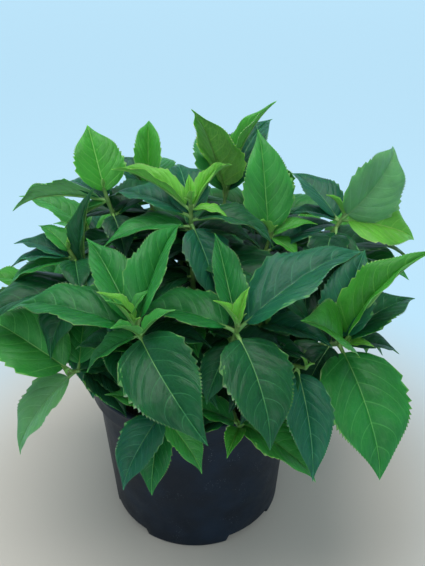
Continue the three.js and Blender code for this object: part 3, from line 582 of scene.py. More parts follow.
SHOOTS = [
    {
        "name": "front_left",
        "tip": (-30, -101, 227),
        "leaves": [
            leaf(8, 165, 5, 85, "mature", bend=30, width=0.52),
            leaf(6, 122, 32, 72, "mid", fold=30, width=0.46, bend=8),
            leaf(2, 165, 45, 30, "young", **FOLDED),
            leaf(5, 66, 37, 76, "mid", fold=45, width=0.46),
            leaf(9, 302, -23, 79, "dark", **{**BROAD, "width": 0.55, "roll": 30}),
            leaf(12, 185, -35, 42, "mid"),
            leaf(24, 60, -10, 58, "dark"),
            leaf(38, 160, -20, 60, "dark"),
            leaf(38, 340, -35, 56, "dark"),
        ],
    },
    {
        "name": "front_middle",
        "tip": (29, -96, 224),
        "leaves": [
            leaf(8, 155, -16, 77, "mature", bend=50),
            leaf(8, 22, 26, 94, "blue", bend=30, width=0.52),
            leaf(4, 105, 38, 66, "mature", fold=38, width=0.38, bend=8),
            leaf(2, 170, 50, 22, "young", **FOLDED),
            leaf(1, 60, 80, 24, "young", **FOLDED),
            leaf(9, 292, -36, 71, "dark", **{**BROAD, "width": 0.6}),
            leaf(20, 235, -50, 42, "dark"),
            leaf(24, 104, -5, 52, "dark"),
            leaf(38, 30, -25, 60, "dark"),
            leaf(38, 200, -35, 54, "dark"),
        ],
    },
    {
        "name": "top_front",
        "tip": (0, -26, 271),
        "from": 2,
        "leaves": [
            leaf(4, 155, 22, 62, "young", fold=50, width=0.36),
            leaf(8, 150, -2, 70, "blue"),
            leaf(4, 60, 22, 56, "young", fold=55, width=0.3),
            leaf(1, 100, 55, 22, "young", **FOLDED),
            leaf(1, 280, 60, 16, "young", **FOLDED),
            leaf(3, 345, -5, 26, "young"),
            leaf(10, 350, -14, 58, "dark", bend=70),
            leaf(12, 298, -46, 60, "blue", width=0.58),
            leaf(10, 100, 25, 58, "blue"),
            leaf(14, 190, -7, 60, "mid"),
        ],
    },
    {
        "name": "top",
        "tip": (25, 56, 258),
        "from": 2,
        "leaves": [
            leaf(6, 225, 63, 80, "young", fold=14, width=0.62, bend=20),
            leaf(5, 20, 60, 78, "fresh", fold=48, width=0.34),
            leaf(10, 50, 42, 82, "blue"),
            leaf(10, 104, 45, 78, "mid"),
        ],
    },
    {
        "name": "upper_right",
        "tip": (57, 8, 238),
        "swing": 10,
        "from": 2,
        "leaves": [
            leaf(6, 108, 67, 81, "light", width=0.52, bend=12),
            leaf(4, 5, 18, 36, "fresh"),
            leaf(2, 220, 50, 20, "young", **FOLDED),
            leaf(4, 320, -20, 28, "fresh"),
            leaf(16, 25, 5, 70, "blue"),
            leaf(18, 250, -20, 62, "dark"),
        ],
    },
    {
        "name": "right_shoulder",
        "tip": (110, 14, 250),
        "swing": -40,
        "from": 2,
        "leaves": [
            leaf(6, 34, 45, 70, "dusty", fold=14, width=0.7, roll=75, bend=60),
            leaf(6, 5, -14, 62, "young", roll=40, width=0.66),
            leaf(8, 124, 24, 60, "blue"),
            leaf(2, 180, 50, 22, "young", **FOLDED),
            leaf(12, 260, -45, 64, "dark"),
            leaf(7, 150, -15, 46, "blue"),
        ],
    },
    {
        "name": "right",
        "tip": (105, -56, 183),
        "leaves": [
            leaf(5, 15, 52, 86, "fresh", fold=42, width=0.48),
            leaf(5, 225, 40, 62, "fresh", width=0.72, roll=-40, fold=24, bend=20),
            leaf(4, 330, 15, 20, "young"),
            leaf(10, 286, -40, 91, "mid", **BROAD),
            leaf(10, 63, 35, 70, "blue"),
            leaf(14, 28, 14, 74, "dark"),
            leaf(16, 8, -12, 52, "dark"),
            leaf(24, 40, -22, 62, "dark"),
            leaf(20, 200, -20, 50, "dark"),
        ],
    },
    {
        "name": "upper_left",
        "tip": (-59, -6, 275),
        "from": 2,
        "leaves": [
            leaf(6, 118, 50, 56, "fresh", width=0.66, bend=12),
            leaf(8, 175, -4, 70, "dusty", roll=30),
            leaf(9, 150, -5, 56, "blue"),
            leaf(8, 180, -38, 42, "light"),
            leaf(20, 60, 5, 60, "dark"),
        ],
    },
    {
        "name": "left",
        "tip": (-82, -26, 239),
        "from": 2,
        "leaves": [
            leaf(6, 175, -10, 48, "blue"),
            leaf(8, 185, -20, 52, "mid"),
            leaf(8, 150, 3, 48, "blue"),
            leaf(4, 122, 30, 42, "light"),
            leaf(8, 285, -5, 42, "dark"),
            leaf(22, 240, -40, 62, "dark"),
            leaf(20, 50, 60, 62, "dark", fold=45, width=0.36),
        ],
    },
    {
        "name": "low_left",
        "tip": (-83, -66, 166),
        "leaves": [
            leaf(6, 160, 28, 78, "light", width=0.62, roll=-25),
            leaf(8, 220, -40, 65, "dusty"),
            leaf(8, 10, -5, 42, "dark"),
            leaf(12, 90, 25, 58, "mid"),
        ],
    },
    {
        "name": "low_front_left",
        "tip": (-19, -96, 153),
        "leaves": [
            leaf(5, 175, 25, 39, "light"),
            leaf(10, 235, -35, 54, "blue", width=0.6),
            leaf(8, 256, -52, 52, "mature", width=0.5),
            leaf(6, 318, -42, 45, "light", width=0.5),
        ],
    },
    {
        "name": "low_front_right",
        "tip": (32, -94, 143),
        "leaves": [
            leaf(6, 180, 22, 44, "mid", width=0.64),
            leaf(3, 254, 0, 28, "fresh", fold=35),
            leaf(8, 328, -18, 62, "light"),
            leaf(7, 355, 5, 34, "light"),
        ],
    },
    {
        "name": "front_right",
        "tip": (72, -86, 186),
        "leaves": [
            leaf(12, 281, -42, 70, "blue", width=0.46),
            leaf(10, 240, -45, 40, "dark"),
            leaf(10, 112, 25, 72, "dark"),
            leaf(8, 69, 30, 62, "blue"),
        ],
    },
    {
        "name": "low_right",
        "tip": (96, 8, 172),
        "from": 2,
        "leaves": [
            leaf(6, 20, 30, 58, "mid"),
            leaf(6, 150, 35, 50, "dark"),
            leaf(12, 355, -28, 72, "dark"),
            leaf(14, 75, -5, 66, "blue"),
        ],
    },
    {
        "name": "top_left",
        "tip": (-35, 42, 262),
        "from": 2,
        "leaves": [
            leaf(6, 75, 60, 66, "fresh", **FOLDED),
            leaf(8, 140, 30, 50, "blue"),
            leaf(10, 90, 12, 70, "mid"),
            leaf(20, 200, 0, 70, "dark"),
        ],
    },
    {
        "name": "inner_left",
        "tip": (-52, -56, 190),
        "leaves": [
            leaf(6, 205, 12, 62, "dark"),
            leaf(6, 30, 12, 58, "blue"),
            leaf(14, 120, 0, 62, "dark"),
            leaf(14, 275, -20, 46, "dark"),
            leaf(24, 335, -30, 56, "dark"),
            leaf(30, 190, -15, 58, "dark"),
        ],
    },
    {
        "name": "inner_right",
        "tip": (46, -50, 196),
        "leaves": [
            leaf(6, 165, 5, 66, "dark"),
            leaf(6, 340, 10, 55, "blue"),
            leaf(14, 60, 0, 62, "dark"),
            leaf(16, 215, -25, 50, "dark"),
            leaf(26, 300, -30, 54, "dark"),
            leaf(30, 0, -20, 58, "dark"),
        ],
    },
    {
        "name": "inner_middle",
        "tip": (-4, -60, 198),
        "leaves": [
            leaf(5, 285, 8, 38, "mid"),
            leaf(8, 195, 0, 52, "mid"),
            leaf(8, 5, 0, 54, "dark"),
            leaf(14, 268, -45, 60, "dark"),
            leaf(16, 95, 5, 58, "dark"),
            leaf(26, 215, -38, 54, "dark"),
            leaf(26, 335, -38, 54, "dark"),
        ],
    },
    {"name": "inner_back", "tip": (2, 26, 212), "from": 0},
    {"name": "back_left", "tip": (-88, 52, 228), "from": 0},
    {
        "name": "back_middle",
        "tip": (-18, 100, 235),
        "leaves": [leaf(46, 118, -35, 72, "dark")],
        "from": 0,
    },
    {"name": "back_right", "tip": (64, 82, 242), "from": 0},
    {"name": "far_right", "tip": (120, 62, 195), "from": 0},
    {
        "name": "far_left",
        "tip": (-122, 22, 182),
        "leaves": [leaf(28, 252, -20, 60, "dark")],
        "from": 0,
    },
    {"name": "low_back_left", "tip": (-78, 104, 178), "from": 0},
    {"name": "low_back", "tip": (8, 136, 178), "swing": -10, "from": 0},
    {"name": "low_back_right", "tip": (92, 112, 176), "swing": -12, "from": 0},
]


def chance(*numbers):
    """Repeatable values from 0 up to 1: the same numbers give the same plant each time."""
    mixed = 2166136261
    for number in numbers:
        mixed = ((mixed ^ number) * 16777619) & 0xFFFFFFFF
        mixed = ((mixed ^ (mixed >> 15)) * 2246822519) & 0xFFFFFFFF
    return (mixed ^ (mixed >> 13)) / 4294967296


PAIR_DOWN = [12, 24, 37, 50]
PAIR_RISE = [30, 12, -8, -28]
PAIR_LENGTH = [66, 80, 88, 84]
PAIR_TONES = [["light", "fresh"], ["mid", "blue"], ["dark", "mature"], ["dark", "blue"]]
FIRST_TURN = 25
PAIR_TURN = 90
BEARING_PLAY = 30
RISE_PLAY = 14
RISE_DRAW = 7
OUTER_DROOP = 8
SHORTEST = 0.88
LENGTH_PLAY = 0.2
LENGTH_DRAW = 11
TONE_DRAW = 19
PAIR_FOLD = 14
PAIR_BEND = 40
PAIR_BEND_STEP = 8


def pair_of(shoot, number, pair):
    """Two facing leaves. Each pair is longer than the last until the third, and hangs further down."""
    outward = math.degrees(math.atan2(shoot["tip"][1], shoot["tip"][0]))
    found = []
    for side in (0, 1):
        spread = BEARING_PLAY * (chance(number, pair, side) - 0.5)
        bearing = outward + FIRST_TURN + PAIR_TURN * pair + 180 * side + spread
        droop = OUTER_DROOP * math.cos(math.radians(bearing - outward))
        lift = RISE_PLAY * (chance(number, pair, side, RISE_DRAW) - 0.5)
        growth = SHORTEST + LENGTH_PLAY * chance(number, pair, side, LENGTH_DRAW)
        tone = PAIR_TONES[pair][int(2 * chance(number, pair, side, TONE_DRAW))]
        own = {"fold": PAIR_FOLD, "bend": PAIR_BEND + PAIR_BEND_STEP * pair}
        rise = PAIR_RISE[pair] - droop + lift
        found.append(leaf(PAIR_DOWN[pair], bearing, rise, PAIR_LENGTH[pair] * growth, tone, **own))
    return found


# Canes: last year's woody stems, thin and tan, each bowed from the crown out to its shoot.
# The feet of low shoots stand near the crown's edge and those of high ones near its middle.
CANE_FOOT_RADIUS = 2.8
CANE_TIP_RADIUS = 2
STEM_TIP_RADIUS = 1.1
OUTER_FOOT = 24
FOOT_FALL = 0.15
LOWEST_TIP = 140
LEAST_FOOT = 3
FOOT_LIMIT = CROWN_RADIUS - CANE_FOOT_RADIUS - 2 * CLEARANCE
FOOT_PITCH = 7
SPREAD_ROUNDS = 200
BOW_OUT = 0.12
HIGH_TIP = 200
LOW_ARCH = 20
HIGH_SAG = -12
MASS_LENGTH = 62
SPEED_STEP = 0.01


def spread_feet():
    """Where each cane stands on the crown, as complex numbers, parted until no two are too close."""
    feet = []
    for shoot in SHOOTS:
        x, y, z = shoot["tip"]
        wanted = min(max(OUTER_FOOT - FOOT_FALL * (z - LOWEST_TIP), LEAST_FOOT), FOOT_LIMIT)
        bearing = cmath.phase(complex(x, y)) + math.radians(shoot.get("swing", 0))
        feet.append(cmath.rect(wanted, bearing))
    for _ in range(SPREAD_ROUNDS):
        for first in range(len(feet)):
            for other in range(first + 1, len(feet)):
                apart = feet[other] - feet[first]
                short = FOOT_PITCH - abs(apart)
                if short > 0:
                    push = apart * (short / 2 / abs(apart))
                    feet[first] -= push
                    feet[other] += push
        feet = [foot * min(1, FOOT_LIMIT / abs(foot)) for foot in feet]
    return feet


def limb_of(shoot, foot_at):
    """The foot, middle and tip that a cane and its shoot bow between."""
    tip = np.array(shoot["tip"], dtype=float)
    foot = np.array([foot_at.real, foot_at.imag, CROWN_TOP + CLEARANCE])
    middle = (foot + tip) / 2
    middle[:2] += BOW_OUT * (tip - foot)[:2]
    middle[2] += LOW_ARCH if tip[2] < HIGH_TIP else HIGH_SAG
    return foot, middle, tip


def along_limb(limb, shares):
    """Points at shares of a limb, from its foot to its tip."""
    foot, middle, tip = limb
    t = np.atleast_1d(shares)[:, None]
    return (1 - t) ** 2 * foot + 2 * (1 - t) * t * middle + t**2 * tip


def stem_of(shoot, foot_at):
    """A limb with its length, where its cane ends and its shoot starts, and its chain for tests."""
    limb = limb_of(shoot, foot_at)
    fine = along_limb(limb, np.linspace(0, 1, 201))
    whole = np.linalg.norm(np.diff(fine, axis=0), axis=1).sum()
    split = 1 - min(MASS_LENGTH, 0.5 * whole) / whole
    start, after = along_limb(limb, [split, split + SPEED_STEP])
    restart = split + CLEARANCE * SPEED_STEP / np.linalg.norm(after - start)
    chain = along_limb(limb, np.linspace(0, 1, 13))
    return {"limb": limb, "whole": whole, "split": split, "restart": restart, "chain": chain}


STEMS = [stem_of(shoot, foot) for shoot, foot in zip(SHOOTS, spread_feet())]


def limb_tree():
    """Round limbs along lines, as thick as their girth says, with lengthwise relief."""
    inputs = [("Lines", "Geometry"), ("Sides", "Int"), ("Step", "Float"), ("Relief", "Float")]
    inputs += [("Grain", "Float"), ("Material", "Material")]
    tree, nodes, given, exit_node = tree_of("limbs", inputs)
    curve = nodes.node("GeometryNodeMeshToCurve", None, {"Mesh": given["Lines"]})
    even = {"Curve": curve, "Length": given["Step"]}
    curve = nodes.node("GeometryNodeResampleCurve", {"mode": "LENGTH"}, even)
    ring = {"Resolution": given["Sides"], "Radius": 1.0}
    ring = nodes.node("GeometryNodeCurvePrimitiveCircle", None, ring)
    girth = nodes.node("GeometryNodeInputNamedAttribute", {"data_type": "FLOAT"}, {"Name": "girth"})
    swept = {"Curve": curve, "Profile Curve": ring, "Scale": girth, "Fill Caps": True}
    limb = nodes.node("GeometryNodeCurveToMesh", None, swept)
    place = nodes.node("GeometryNodeInputPosition")
    stretch = {"Vector": place, "Vector_001": (1.0, 1.0, 0.2)}
    drawn = nodes.node("ShaderNodeVectorMath", {"operation": "MULTIPLY"}, stretch)
    grain = nodes.node("ShaderNodeTexNoise", None, {"Vector": drawn, "Scale": given["Grain"]})
    push = (grain - 0.5) * given["Relief"]
    normal = nodes.node("GeometryNodeInputNormal")
    offset = {"Vector": normal, "Scale": push}
    offset = nodes.node("ShaderNodeVectorMath", {"operation": "SCALE"}, offset)
    moved = nodes.node("GeometryNodeSetPosition", None, {"Geometry": limb, "Offset": offset})
    smooth = nodes.node("GeometryNodeSetShadeSmooth", None, {"Geometry": moved})
    return end_tree(tree, nodes, smooth, given["Material"], exit_node)


def lines_of(name, paths):
    """A mesh of lines from (points, girths) pairs in millimetres, for limb_tree."""
    points, edges, girths = [], [], []
    for path, girth in paths:
        start = len(points)
        points += [tuple(p) for p in np.asarray(path) * MM]
        girths += list(np.asarray(girth) * MM)
        edges += [(i, i + 1) for i in range(start, len(points) - 1)]
    mesh = bpy.data.meshes.new(name)
    mesh.from_pydata(points, edges, [])
    mesh.attributes.new("girth", "FLOAT", "POINT").data.foreach_set("value", girths)
    return mesh


def swellings(distances, joints, width, size):
    """How much thicker a limb is by its joints, at distances along it in millimetres."""
    near = np.exp(-(((distances[:, None] - np.array(joints)[None, :]) / width) ** 2))
    return 1 + size * near.sum(1)


CANE_JOINTS = [14, 40, 68, 98, 128]
JOINT_PLAY = 9
JOINT_WIDTH = 1.8
JOINT_SWELL = 0.28
FOOT_SWELL = 0.35
FOOT_SWELL_REACH = 3.5
CANE_ROWS = 90
INTO_STEM = 0.004
SUNK_IN_CROWN = 2.5


def cane_path(stem, number):
    """Points and girths of a cane, swollen by its old joints and where it leaves the crown."""
    shares = np.linspace(0, stem["split"] + INTO_STEM, CANE_ROWS)
    points = along_limb(stem["limb"], shares)
    distances = shares * stem["whole"]
    joints = [joint + JOINT_PLAY * chance(number, joint) for joint in CANE_JOINTS]
    girth = CANE_FOOT_RADIUS + (CANE_TIP_RADIUS - CANE_FOOT_RADIUS) * shares / stem["split"]
    foot = 1 + FOOT_SWELL * np.exp(-distances / FOOT_SWELL_REACH)
    girth = girth * swellings(distances, joints, JOINT_WIDTH, JOINT_SWELL) * foot
    points[0, 2] -= SUNK_IN_CROWN
    return points, girth


limbs = limb_tree()
young_bark = bark_finish("young_bark", colour(84, 66, 42), colour(150, 126, 86), colour(104, 116, 60))
cane_lines = lines_of("cane_lines", [cane_path(stem, n) for n, stem in enumerate(STEMS)])
cane_values = {"Sides": 12, "Step": 0.0013, "Relief": 0.0009, "Grain": 420.0, "Material": young_bark}
canes = grown("canes", cane_lines, limbs, cane_values)
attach(canes, "root")
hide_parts(*[shoot["name"] + "_cane" for shoot in SHOOTS])


# Growth: every leaf takes its stated place, or the nearest small turn from it that touches nothing.
# One that finds no such place is tried shorter, and is then left out.
LEAF_GAP = 2.6
PETIOLE_SHARE = 0.08
PETIOLE_HALF_WIDTH = 1.1
TIP_SHARE = 0.3
WIDEN = 0.6
TAPER = 1.12
WIDEST = WIDEN / (WIDEN + TAPER)
STATIONS = np.array([0, PETIOLE_SHARE, 0.3, 0.52, 0.76, 1])
SAMPLE_SHARES = (0.25, 0.5, 0.75)
LIMB_MARGIN = 1.6
FIRST_BLADE_ROW = 2
LEAST_SIZE = 1e-9
SMALL_TURNS = [
    (0, 0), (5, 0), (-5, 0), (0, 8), (0, -8), (10, 0), (-10, 0), (6, 14), (6, -14),
    (-6, 14), (-6, -14), (16, 0), (-16, 0), (0, 24), (0, -24), (14, 20), (14, -20), (-14, 20), (-14, -20),
]
FEW_TURNS = SMALL_TURNS[:7]
SHORTER = (1, 0.8, 0.64)


def leaf_frame(shape):
    """A leaf's own direction, the side that its right margin lies on, and its upper face."""
    b, r, q = (math.radians(shape[name]) for name in ("bearing", "rise", "roll"))
    along = np.array([math.cos(r) * math.cos(b), math.cos(r) * math.sin(b), math.sin(r)])
    up = np.array([-math.sin(r) * math.cos(b), -math.sin(r) * math.sin(b), math.cos(r)])
    face = up * math.cos(q) + np.cross(along, up) * math.sin(q)
    return along, np.cross(along, face), face


def half_width(share, shape):
    """Half the blade's width: widest a third of the way, and drawn out to the tip."""
    blade = np.clip((share - PETIOLE_SHARE) / (1 - PETIOLE_SHARE), 0, 1)
    form = (blade / WIDEST) ** WIDEN * ((1 - blade) / (1 - WIDEST)) ** TAPER
    return 0.5 * shape["width"] * shape["length"] * form


def midrib_at(base, shape, share):
    """Points on the midrib, and the way that the upper face looks there."""
    along, _, face = leaf_frame(shape)
    bend = math.radians(shape["bend"])
    arch = shape["length"] * (bend / 2) / math.sin(bend / 2) / bend
    turn = bend * (0.5 - share)[..., None]
    points = base + along * arch * (math.sin(bend / 2) - np.sin(turn))
    points = points + face * arch * (np.cos(turn) - math.cos(bend / 2))
    return points, face * np.cos(turn) - along * np.sin(turn)


def leaf_rows(base, shape):
    """Left margin, midrib and right margin at each station, and the upper face there."""
    side = leaf_frame(shape)[1]
    midrib, upper = midrib_at(base, shape, STATIONS)
    least = np.where(STATIONS < 1, 1, TIP_SHARE) * PETIOLE_HALF_WIDTH
    half = np.maximum(half_width(STATIONS, shape), least)[:, None]
    fold = math.radians(shape["fold"])
    raised = midrib + upper * half * math.sin(fold)
    across = side * half * math.cos(fold)
    return np.stack([raised - across, midrib, raised + across], 1), upper


def sheet_of(rows, upper, first_row=0):
    """What a leaf is tested by: a thin sheet with short needles through it on both sides."""
    rows, upper = rows[first_row:], upper[first_row:, None]
    here, after = rows[:-1], rows[1:]
    edges = [
        np.stack([rows[:, :2], rows[:, 1:]], 2).reshape(-1, 2, 3),
        np.stack([here, after], 2).reshape(-1, 2, 3),
    ]
    near = np.stack([here[:, :2], here[:, 1:], after[:, 1:]], 2)
    far = np.stack([here[:, :2], after[:, 1:], after[:, :2]], 2)
    samples = [rows.reshape(-1, 3)]
    for share in SAMPLE_SHARES:
        samples.append((here + (after - here) * share).reshape(-1, 3))
        samples.append((here[:, :2] + (after[:, 1:] - here[:, :2]) * share).reshape(-1, 3))
    samples = np.concatenate(samples)
    needles = np.stack([rows - upper * LEAF_GAP, rows + upper * LEAF_GAP], 2)
    return {
        "edges": np.concatenate(edges),
        "triangles": np.concatenate([near, far]).reshape(-1, 3, 3),
        "needles": needles.reshape(-1, 2, 3),
        "samples": samples,
        "low": samples.min(0) - LEAF_GAP,
        "high": samples.max(0) + LEAF_GAP,
    }


def cross(a, b):
    """The cross product of each vector of one array with its mate in the other."""
    (ax, ay, az), (bx, by, bz) = np.moveaxis(a, -1, 0), np.moveaxis(b, -1, 0)
    return np.stack([ay * bz - az * by, az * bx - ax * bz, ax * by - ay * bx], -1)


def any_cross(lines, triangles):
    """True where one of the lines passes through one of the triangles."""
    start = lines[:, None, 0]
    along = lines[:, None, 1] - start
    a, b, c = triangles[:, 0], triangles[:, 1], triangles[:, 2]
    over = cross(along, c - a)
    size = ((b - a) * over).sum(-1)
    safe = np.where(np.abs(size) < LEAST_SIZE, 1, size)
    away = start - a
    turned = cross(away, b - a)
    first = (away * over).sum(-1) / safe
    second = (along * turned).sum(-1) / safe
    share = ((c - a) * turned).sum(-1) / safe
    met = (np.abs(size) >= LEAST_SIZE) & (first >= 0) & (first <= 1) & (second >= 0)
    return bool((met & (first + second <= 1) & (share >= 0) & (share <= 1)).any())


def boxes_meet(one, other):
    return bool((one["low"] <= other["high"]).all() and (other["low"] <= one["high"]).all())


def sheets_meet(one, other, kinds):
    """True where lines of these kinds of one leaf pass through the other, either way round."""
    if not boxes_meet(one, other):
        return False
    ways = ((one, other), (other, one))
    return any(any_cross(a[kind], b["triangles"]) for kind in kinds for a, b in ways)


def sheets_cross(one, other):
    return sheets_meet(one, other, ["edges"])


def sheets_touch(one, other):
    return sheets_meet(one, other, ["edges", "needles"])


def touches_limb(sheet, chain):
    """True where a leaf comes too near to a cane, which is tested as a chain of straight pieces."""
    margin = CANE_FOOT_RADIUS + LIMB_MARGIN
    box = {"low": chain.min(0) - margin, "high": chain.max(0) + margin}
    if not boxes_meet(sheet, box):
        return False
    if any_cross(np.stack([chain[:-1], chain[1:]], 1), sheet["triangles"]):
        return True
    start, along = chain[:-1], np.diff(chain, axis=0)
    away = sheet["samples"][:, None] - start
    share = np.clip((away * along).sum(-1) / (along**2).sum(-1), 0, 1)
    nearest = away - share[..., None] * along
    return bool((np.linalg.norm(nearest, axis=-1) < margin).any())


def touches_pot(sheet):
    """A leaf that hangs over the side passes outside the pot's lip, and one inside stays above it."""
    x, y, z = sheet["samples"].T
    low = z < POT_HEIGHT + LEAF_GAP
    return bool((low & (np.hypot(x, y) < RIM_RADIUS + LEAF_GAP)).any())


placed = [[] for _ in SHOOTS]


def is_free(sheet, blade, number, may_cross_own):
    """True where a leaf of a shoot keeps clear of the pot, the canes and the leaves that stand."""
    if touches_pot(sheet):
        return False
    for other, stem in enumerate(STEMS):
        if other == number:
            if not may_cross_own and any(sheets_cross(blade, mate["blade"]) for mate in placed[other]):
                return False
        elif touches_limb(sheet, stem["chain"]):
            return False
        elif any(sheets_touch(sheet, neighbour["sheet"]) for neighbour in placed[other]):
            return False
    return True


def grow_leaf(shape, number, base=None, lengths=SHORTER, turns=SMALL_TURNS):
    """Places a leaf on a shoot and gives it, or None where it has no room."""
    stem = STEMS[number]
    if base is None:
        share = 1 - shape["down"] / stem["whole"]
        if share * stem["whole"] < stem["restart"] * stem["whole"] + CANE_TIP_RADIUS:
            return None
        base = along_limb(stem["limb"], share)[0]
    for shorter in lengths:
        for may_cross_own in (False, True):
            for rise, bearing in turns:
                tried = {**shape, "rise": shape["rise"] + rise, "bearing": shape["bearing"] + bearing}
                tried["length"] = shape["length"] * shorter
                rows, upper = leaf_rows(base, tried)
                sheet = sheet_of(rows, upper)
                blade = sheet_of(rows, upper, FIRST_BLADE_ROW)
                if is_free(sheet, blade, number, may_cross_own):
                    found = {"shape": tried, "base": base, "sheet": sheet, "blade": blade}
                    placed[number].append(found)
                    return found
    return None


for shoot_number, shoot in enumerate(SHOOTS):
    for shape in shoot.get("leaves", []):
        grow_leaf(shape, shoot_number)
for pair in range(len(PAIR_DOWN)):
    for shoot_number, shoot in enumerate(SHOOTS):
        if pair >= shoot.get("from", len(PAIR_DOWN)):
            for shape in pair_of(shoot, shoot_number, pair):
                grow_leaf(shape, shoot_number)


# Finer growth: in the axils of grown leaves sit short side twigs with a pair of small leaves, shaded
# leaves fill the inside, and each shoot ends in a bud of small folded leaves. They grow by the same
# rule, where there is room.
TWIG_SHARE = 0.22
LEAST_BEARER = 48
TWIG_LENGTH = 9
TWIG_RADIUS = 0.8
TWIG_LEAN = 0.9
TWIG_LEAF_SPREAD = (62, 82)
TWIG_LEAF_LENGTH = (14, 26)
TWIG_LEAF_RISE = (34, 56)
side_twigs = []


def between(ends, share):
    return ends[0] + (ends[1] - ends[0]) * share


def side_twig(found, number, order):
    """A short twig from a leaf's axil with two small leaves, or nothing where they have no room."""
    draw = [chance(number, order, 31 + i) for i in range(5)]
    shape, stem = found["shape"], STEMS[number]
    if draw[0] > TWIG_SHARE or shape["length"] < LEAST_BEARER:
        return
    share = 1 - shape["down"] / stem["whole"]
    ends = along_limb(stem["limb"], [share, share + 0.02])
    rising = (ends[1] - ends[0]) / np.linalg.norm(ends[1] - ends[0])
    aim = rising + TWIG_LEAN * leaf_frame(shape)[0]
    tip = ends[0] + aim / np.linalg.norm(aim) * TWIG_LENGTH * (0.7 + 0.6 * draw[1])
    grew = False
    for side in (-1, 1):
        bearing = shape["bearing"] + side * between(TWIG_LEAF_SPREAD, draw[2])
        rise, length = between(TWIG_LEAF_RISE, draw[4]), between(TWIG_LEAF_LENGTH, draw[3])
        small = leaf(0, bearing, rise, length, "light", fold=32, width=0.5)
        grew = bool(grow_leaf(small, number, tip, (1,), FEW_TURNS)) or grew
    if grew:
        side_twigs.append((ends[0], tip))


for shoot_number in range(len(SHOOTS)):
    for order, found in enumerate(list(placed[shoot_number])):
        side_twig(found, shoot_number, order)

INNER_DOWNS = [17, 28, 39, 50]
INNER_TURNS = [180, 105, -105]
INNER_LEAF_RISE = (-6, -32)
INNER_LEAF_LENGTH = (38, 54)
INNER_LEAF_PLAY = 40


def inner_leaf(number, down, order):
    """A small shaded leaf that points in towards the middle of the shrub or along its side."""
    shoot = SHOOTS[number]
    draw = [chance(number, down, order, 71 + i) for i in range(3)]
    inward = math.degrees(math.atan2(shoot["tip"][1], shoot["tip"][0])) + INNER_TURNS[order]
    rise, length = between(INNER_LEAF_RISE, draw[1]), between(INNER_LEAF_LENGTH, draw[2])
    bearing = inward + INNER_LEAF_PLAY * (draw[0] - 0.5)
    shape = leaf(down, bearing, rise, length, "shade", fold=14, bend=45)
    grow_leaf(shape, number, None, (1, 0.75), FEW_TURNS)


for down in INNER_DOWNS:
    for shoot_number in range(len(SHOOTS)):
        for order in range(len(INNER_TURNS)):
            inner_leaf(shoot_number, down, order)

BUD_LENGTH = 8
BUD_RISE = 66
for shoot_number, shoot in enumerate(SHOOTS):
    for side in (0, 1):
        bearing = 360 * chance(shoot_number, 43) + 180 * side
        length = BUD_LENGTH * (0.8 + 0.4 * chance(shoot_number, side, 47))
        bud = leaf(0, bearing, BUD_RISE, length, "bud", fold=40, width=0.42, bend=30)
        grow_leaf(bud, shoot_number, np.array(shoot["tip"], dtype=float), (1,))


# Shoot stems: this year's soft green growth, one on each cane, with a joint under each pair of leaves.
# The side twigs are the same growth, thinner.
STEM_ROWS = 60
INTO_CANE = 0.006
NODE_WIDTH = 1.6
NODE_SWELL = 0.16


def shoot_path(stem, number):
    """Points and girths of a shoot's stem, swollen where its leaves sit."""
    shares = np.linspace(stem["split"] - INTO_CANE, 1, STEM_ROWS)
    distances = (1 - shares) * stem["whole"]
    joints = sorted({found["shape"]["down"] for found in placed[number]})
    run = (shares - stem["split"]) / (1 - stem["split"])
    girth = CANE_TIP_RADIUS + (STEM_TIP_RADIUS - CANE_TIP_RADIUS) * np.clip(run, 0, 1)
    return along_limb(stem["limb"], shares), girth * swellings(distances, joints, NODE_WIDTH, NODE_SWELL)


def twig_path(start, tip):
    shares = np.linspace(0, 1, 8)[:, None]
    return start + (tip - start) * shares, TWIG_RADIUS * (1.3 - 0.4 * shares[:, 0])


def stem_finish():
    material, nodes, shader, place = new_finish("green_stem", Roughness=0.5)
    patches = nodes.noise(place, 160, 3.0).rises(0.35, 0.7)
    skin = patches.mixed(colour(72, 108, 44), colour(104, 136, 62))
    dots = {"Vector": place, "Scale": 900.0}
    lenticels = nodes.node("ShaderNodeTexVoronoi", None, dots).rises(0.2, 0.1)
    (lenticels * 0.6).mixed(skin, colour(110, 78, 60)).feeds(shader, "Base Color")
    nodes.noise(place, 900, 3.0).bumped(0.3, 0.0003).feeds(shader, "Normal")
    return material


green_stem = stem_finish()
stem_paths = [shoot_path(stem, n) for n, stem in enumerate(STEMS)]
stem_paths += [twig_path(start, tip) for start, tip in side_twigs]
stem_values = {"Sides": 10, "Step": 0.0014, "Relief": 0.0003, "Grain": 300.0, "Material": green_stem}
stems = grown("shoot_stems", lines_of("stem_lines", stem_paths), limbs, stem_values)
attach(stems, "root")
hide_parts(*[shoot["name"] + "_leaves" for shoot in SHOOTS])


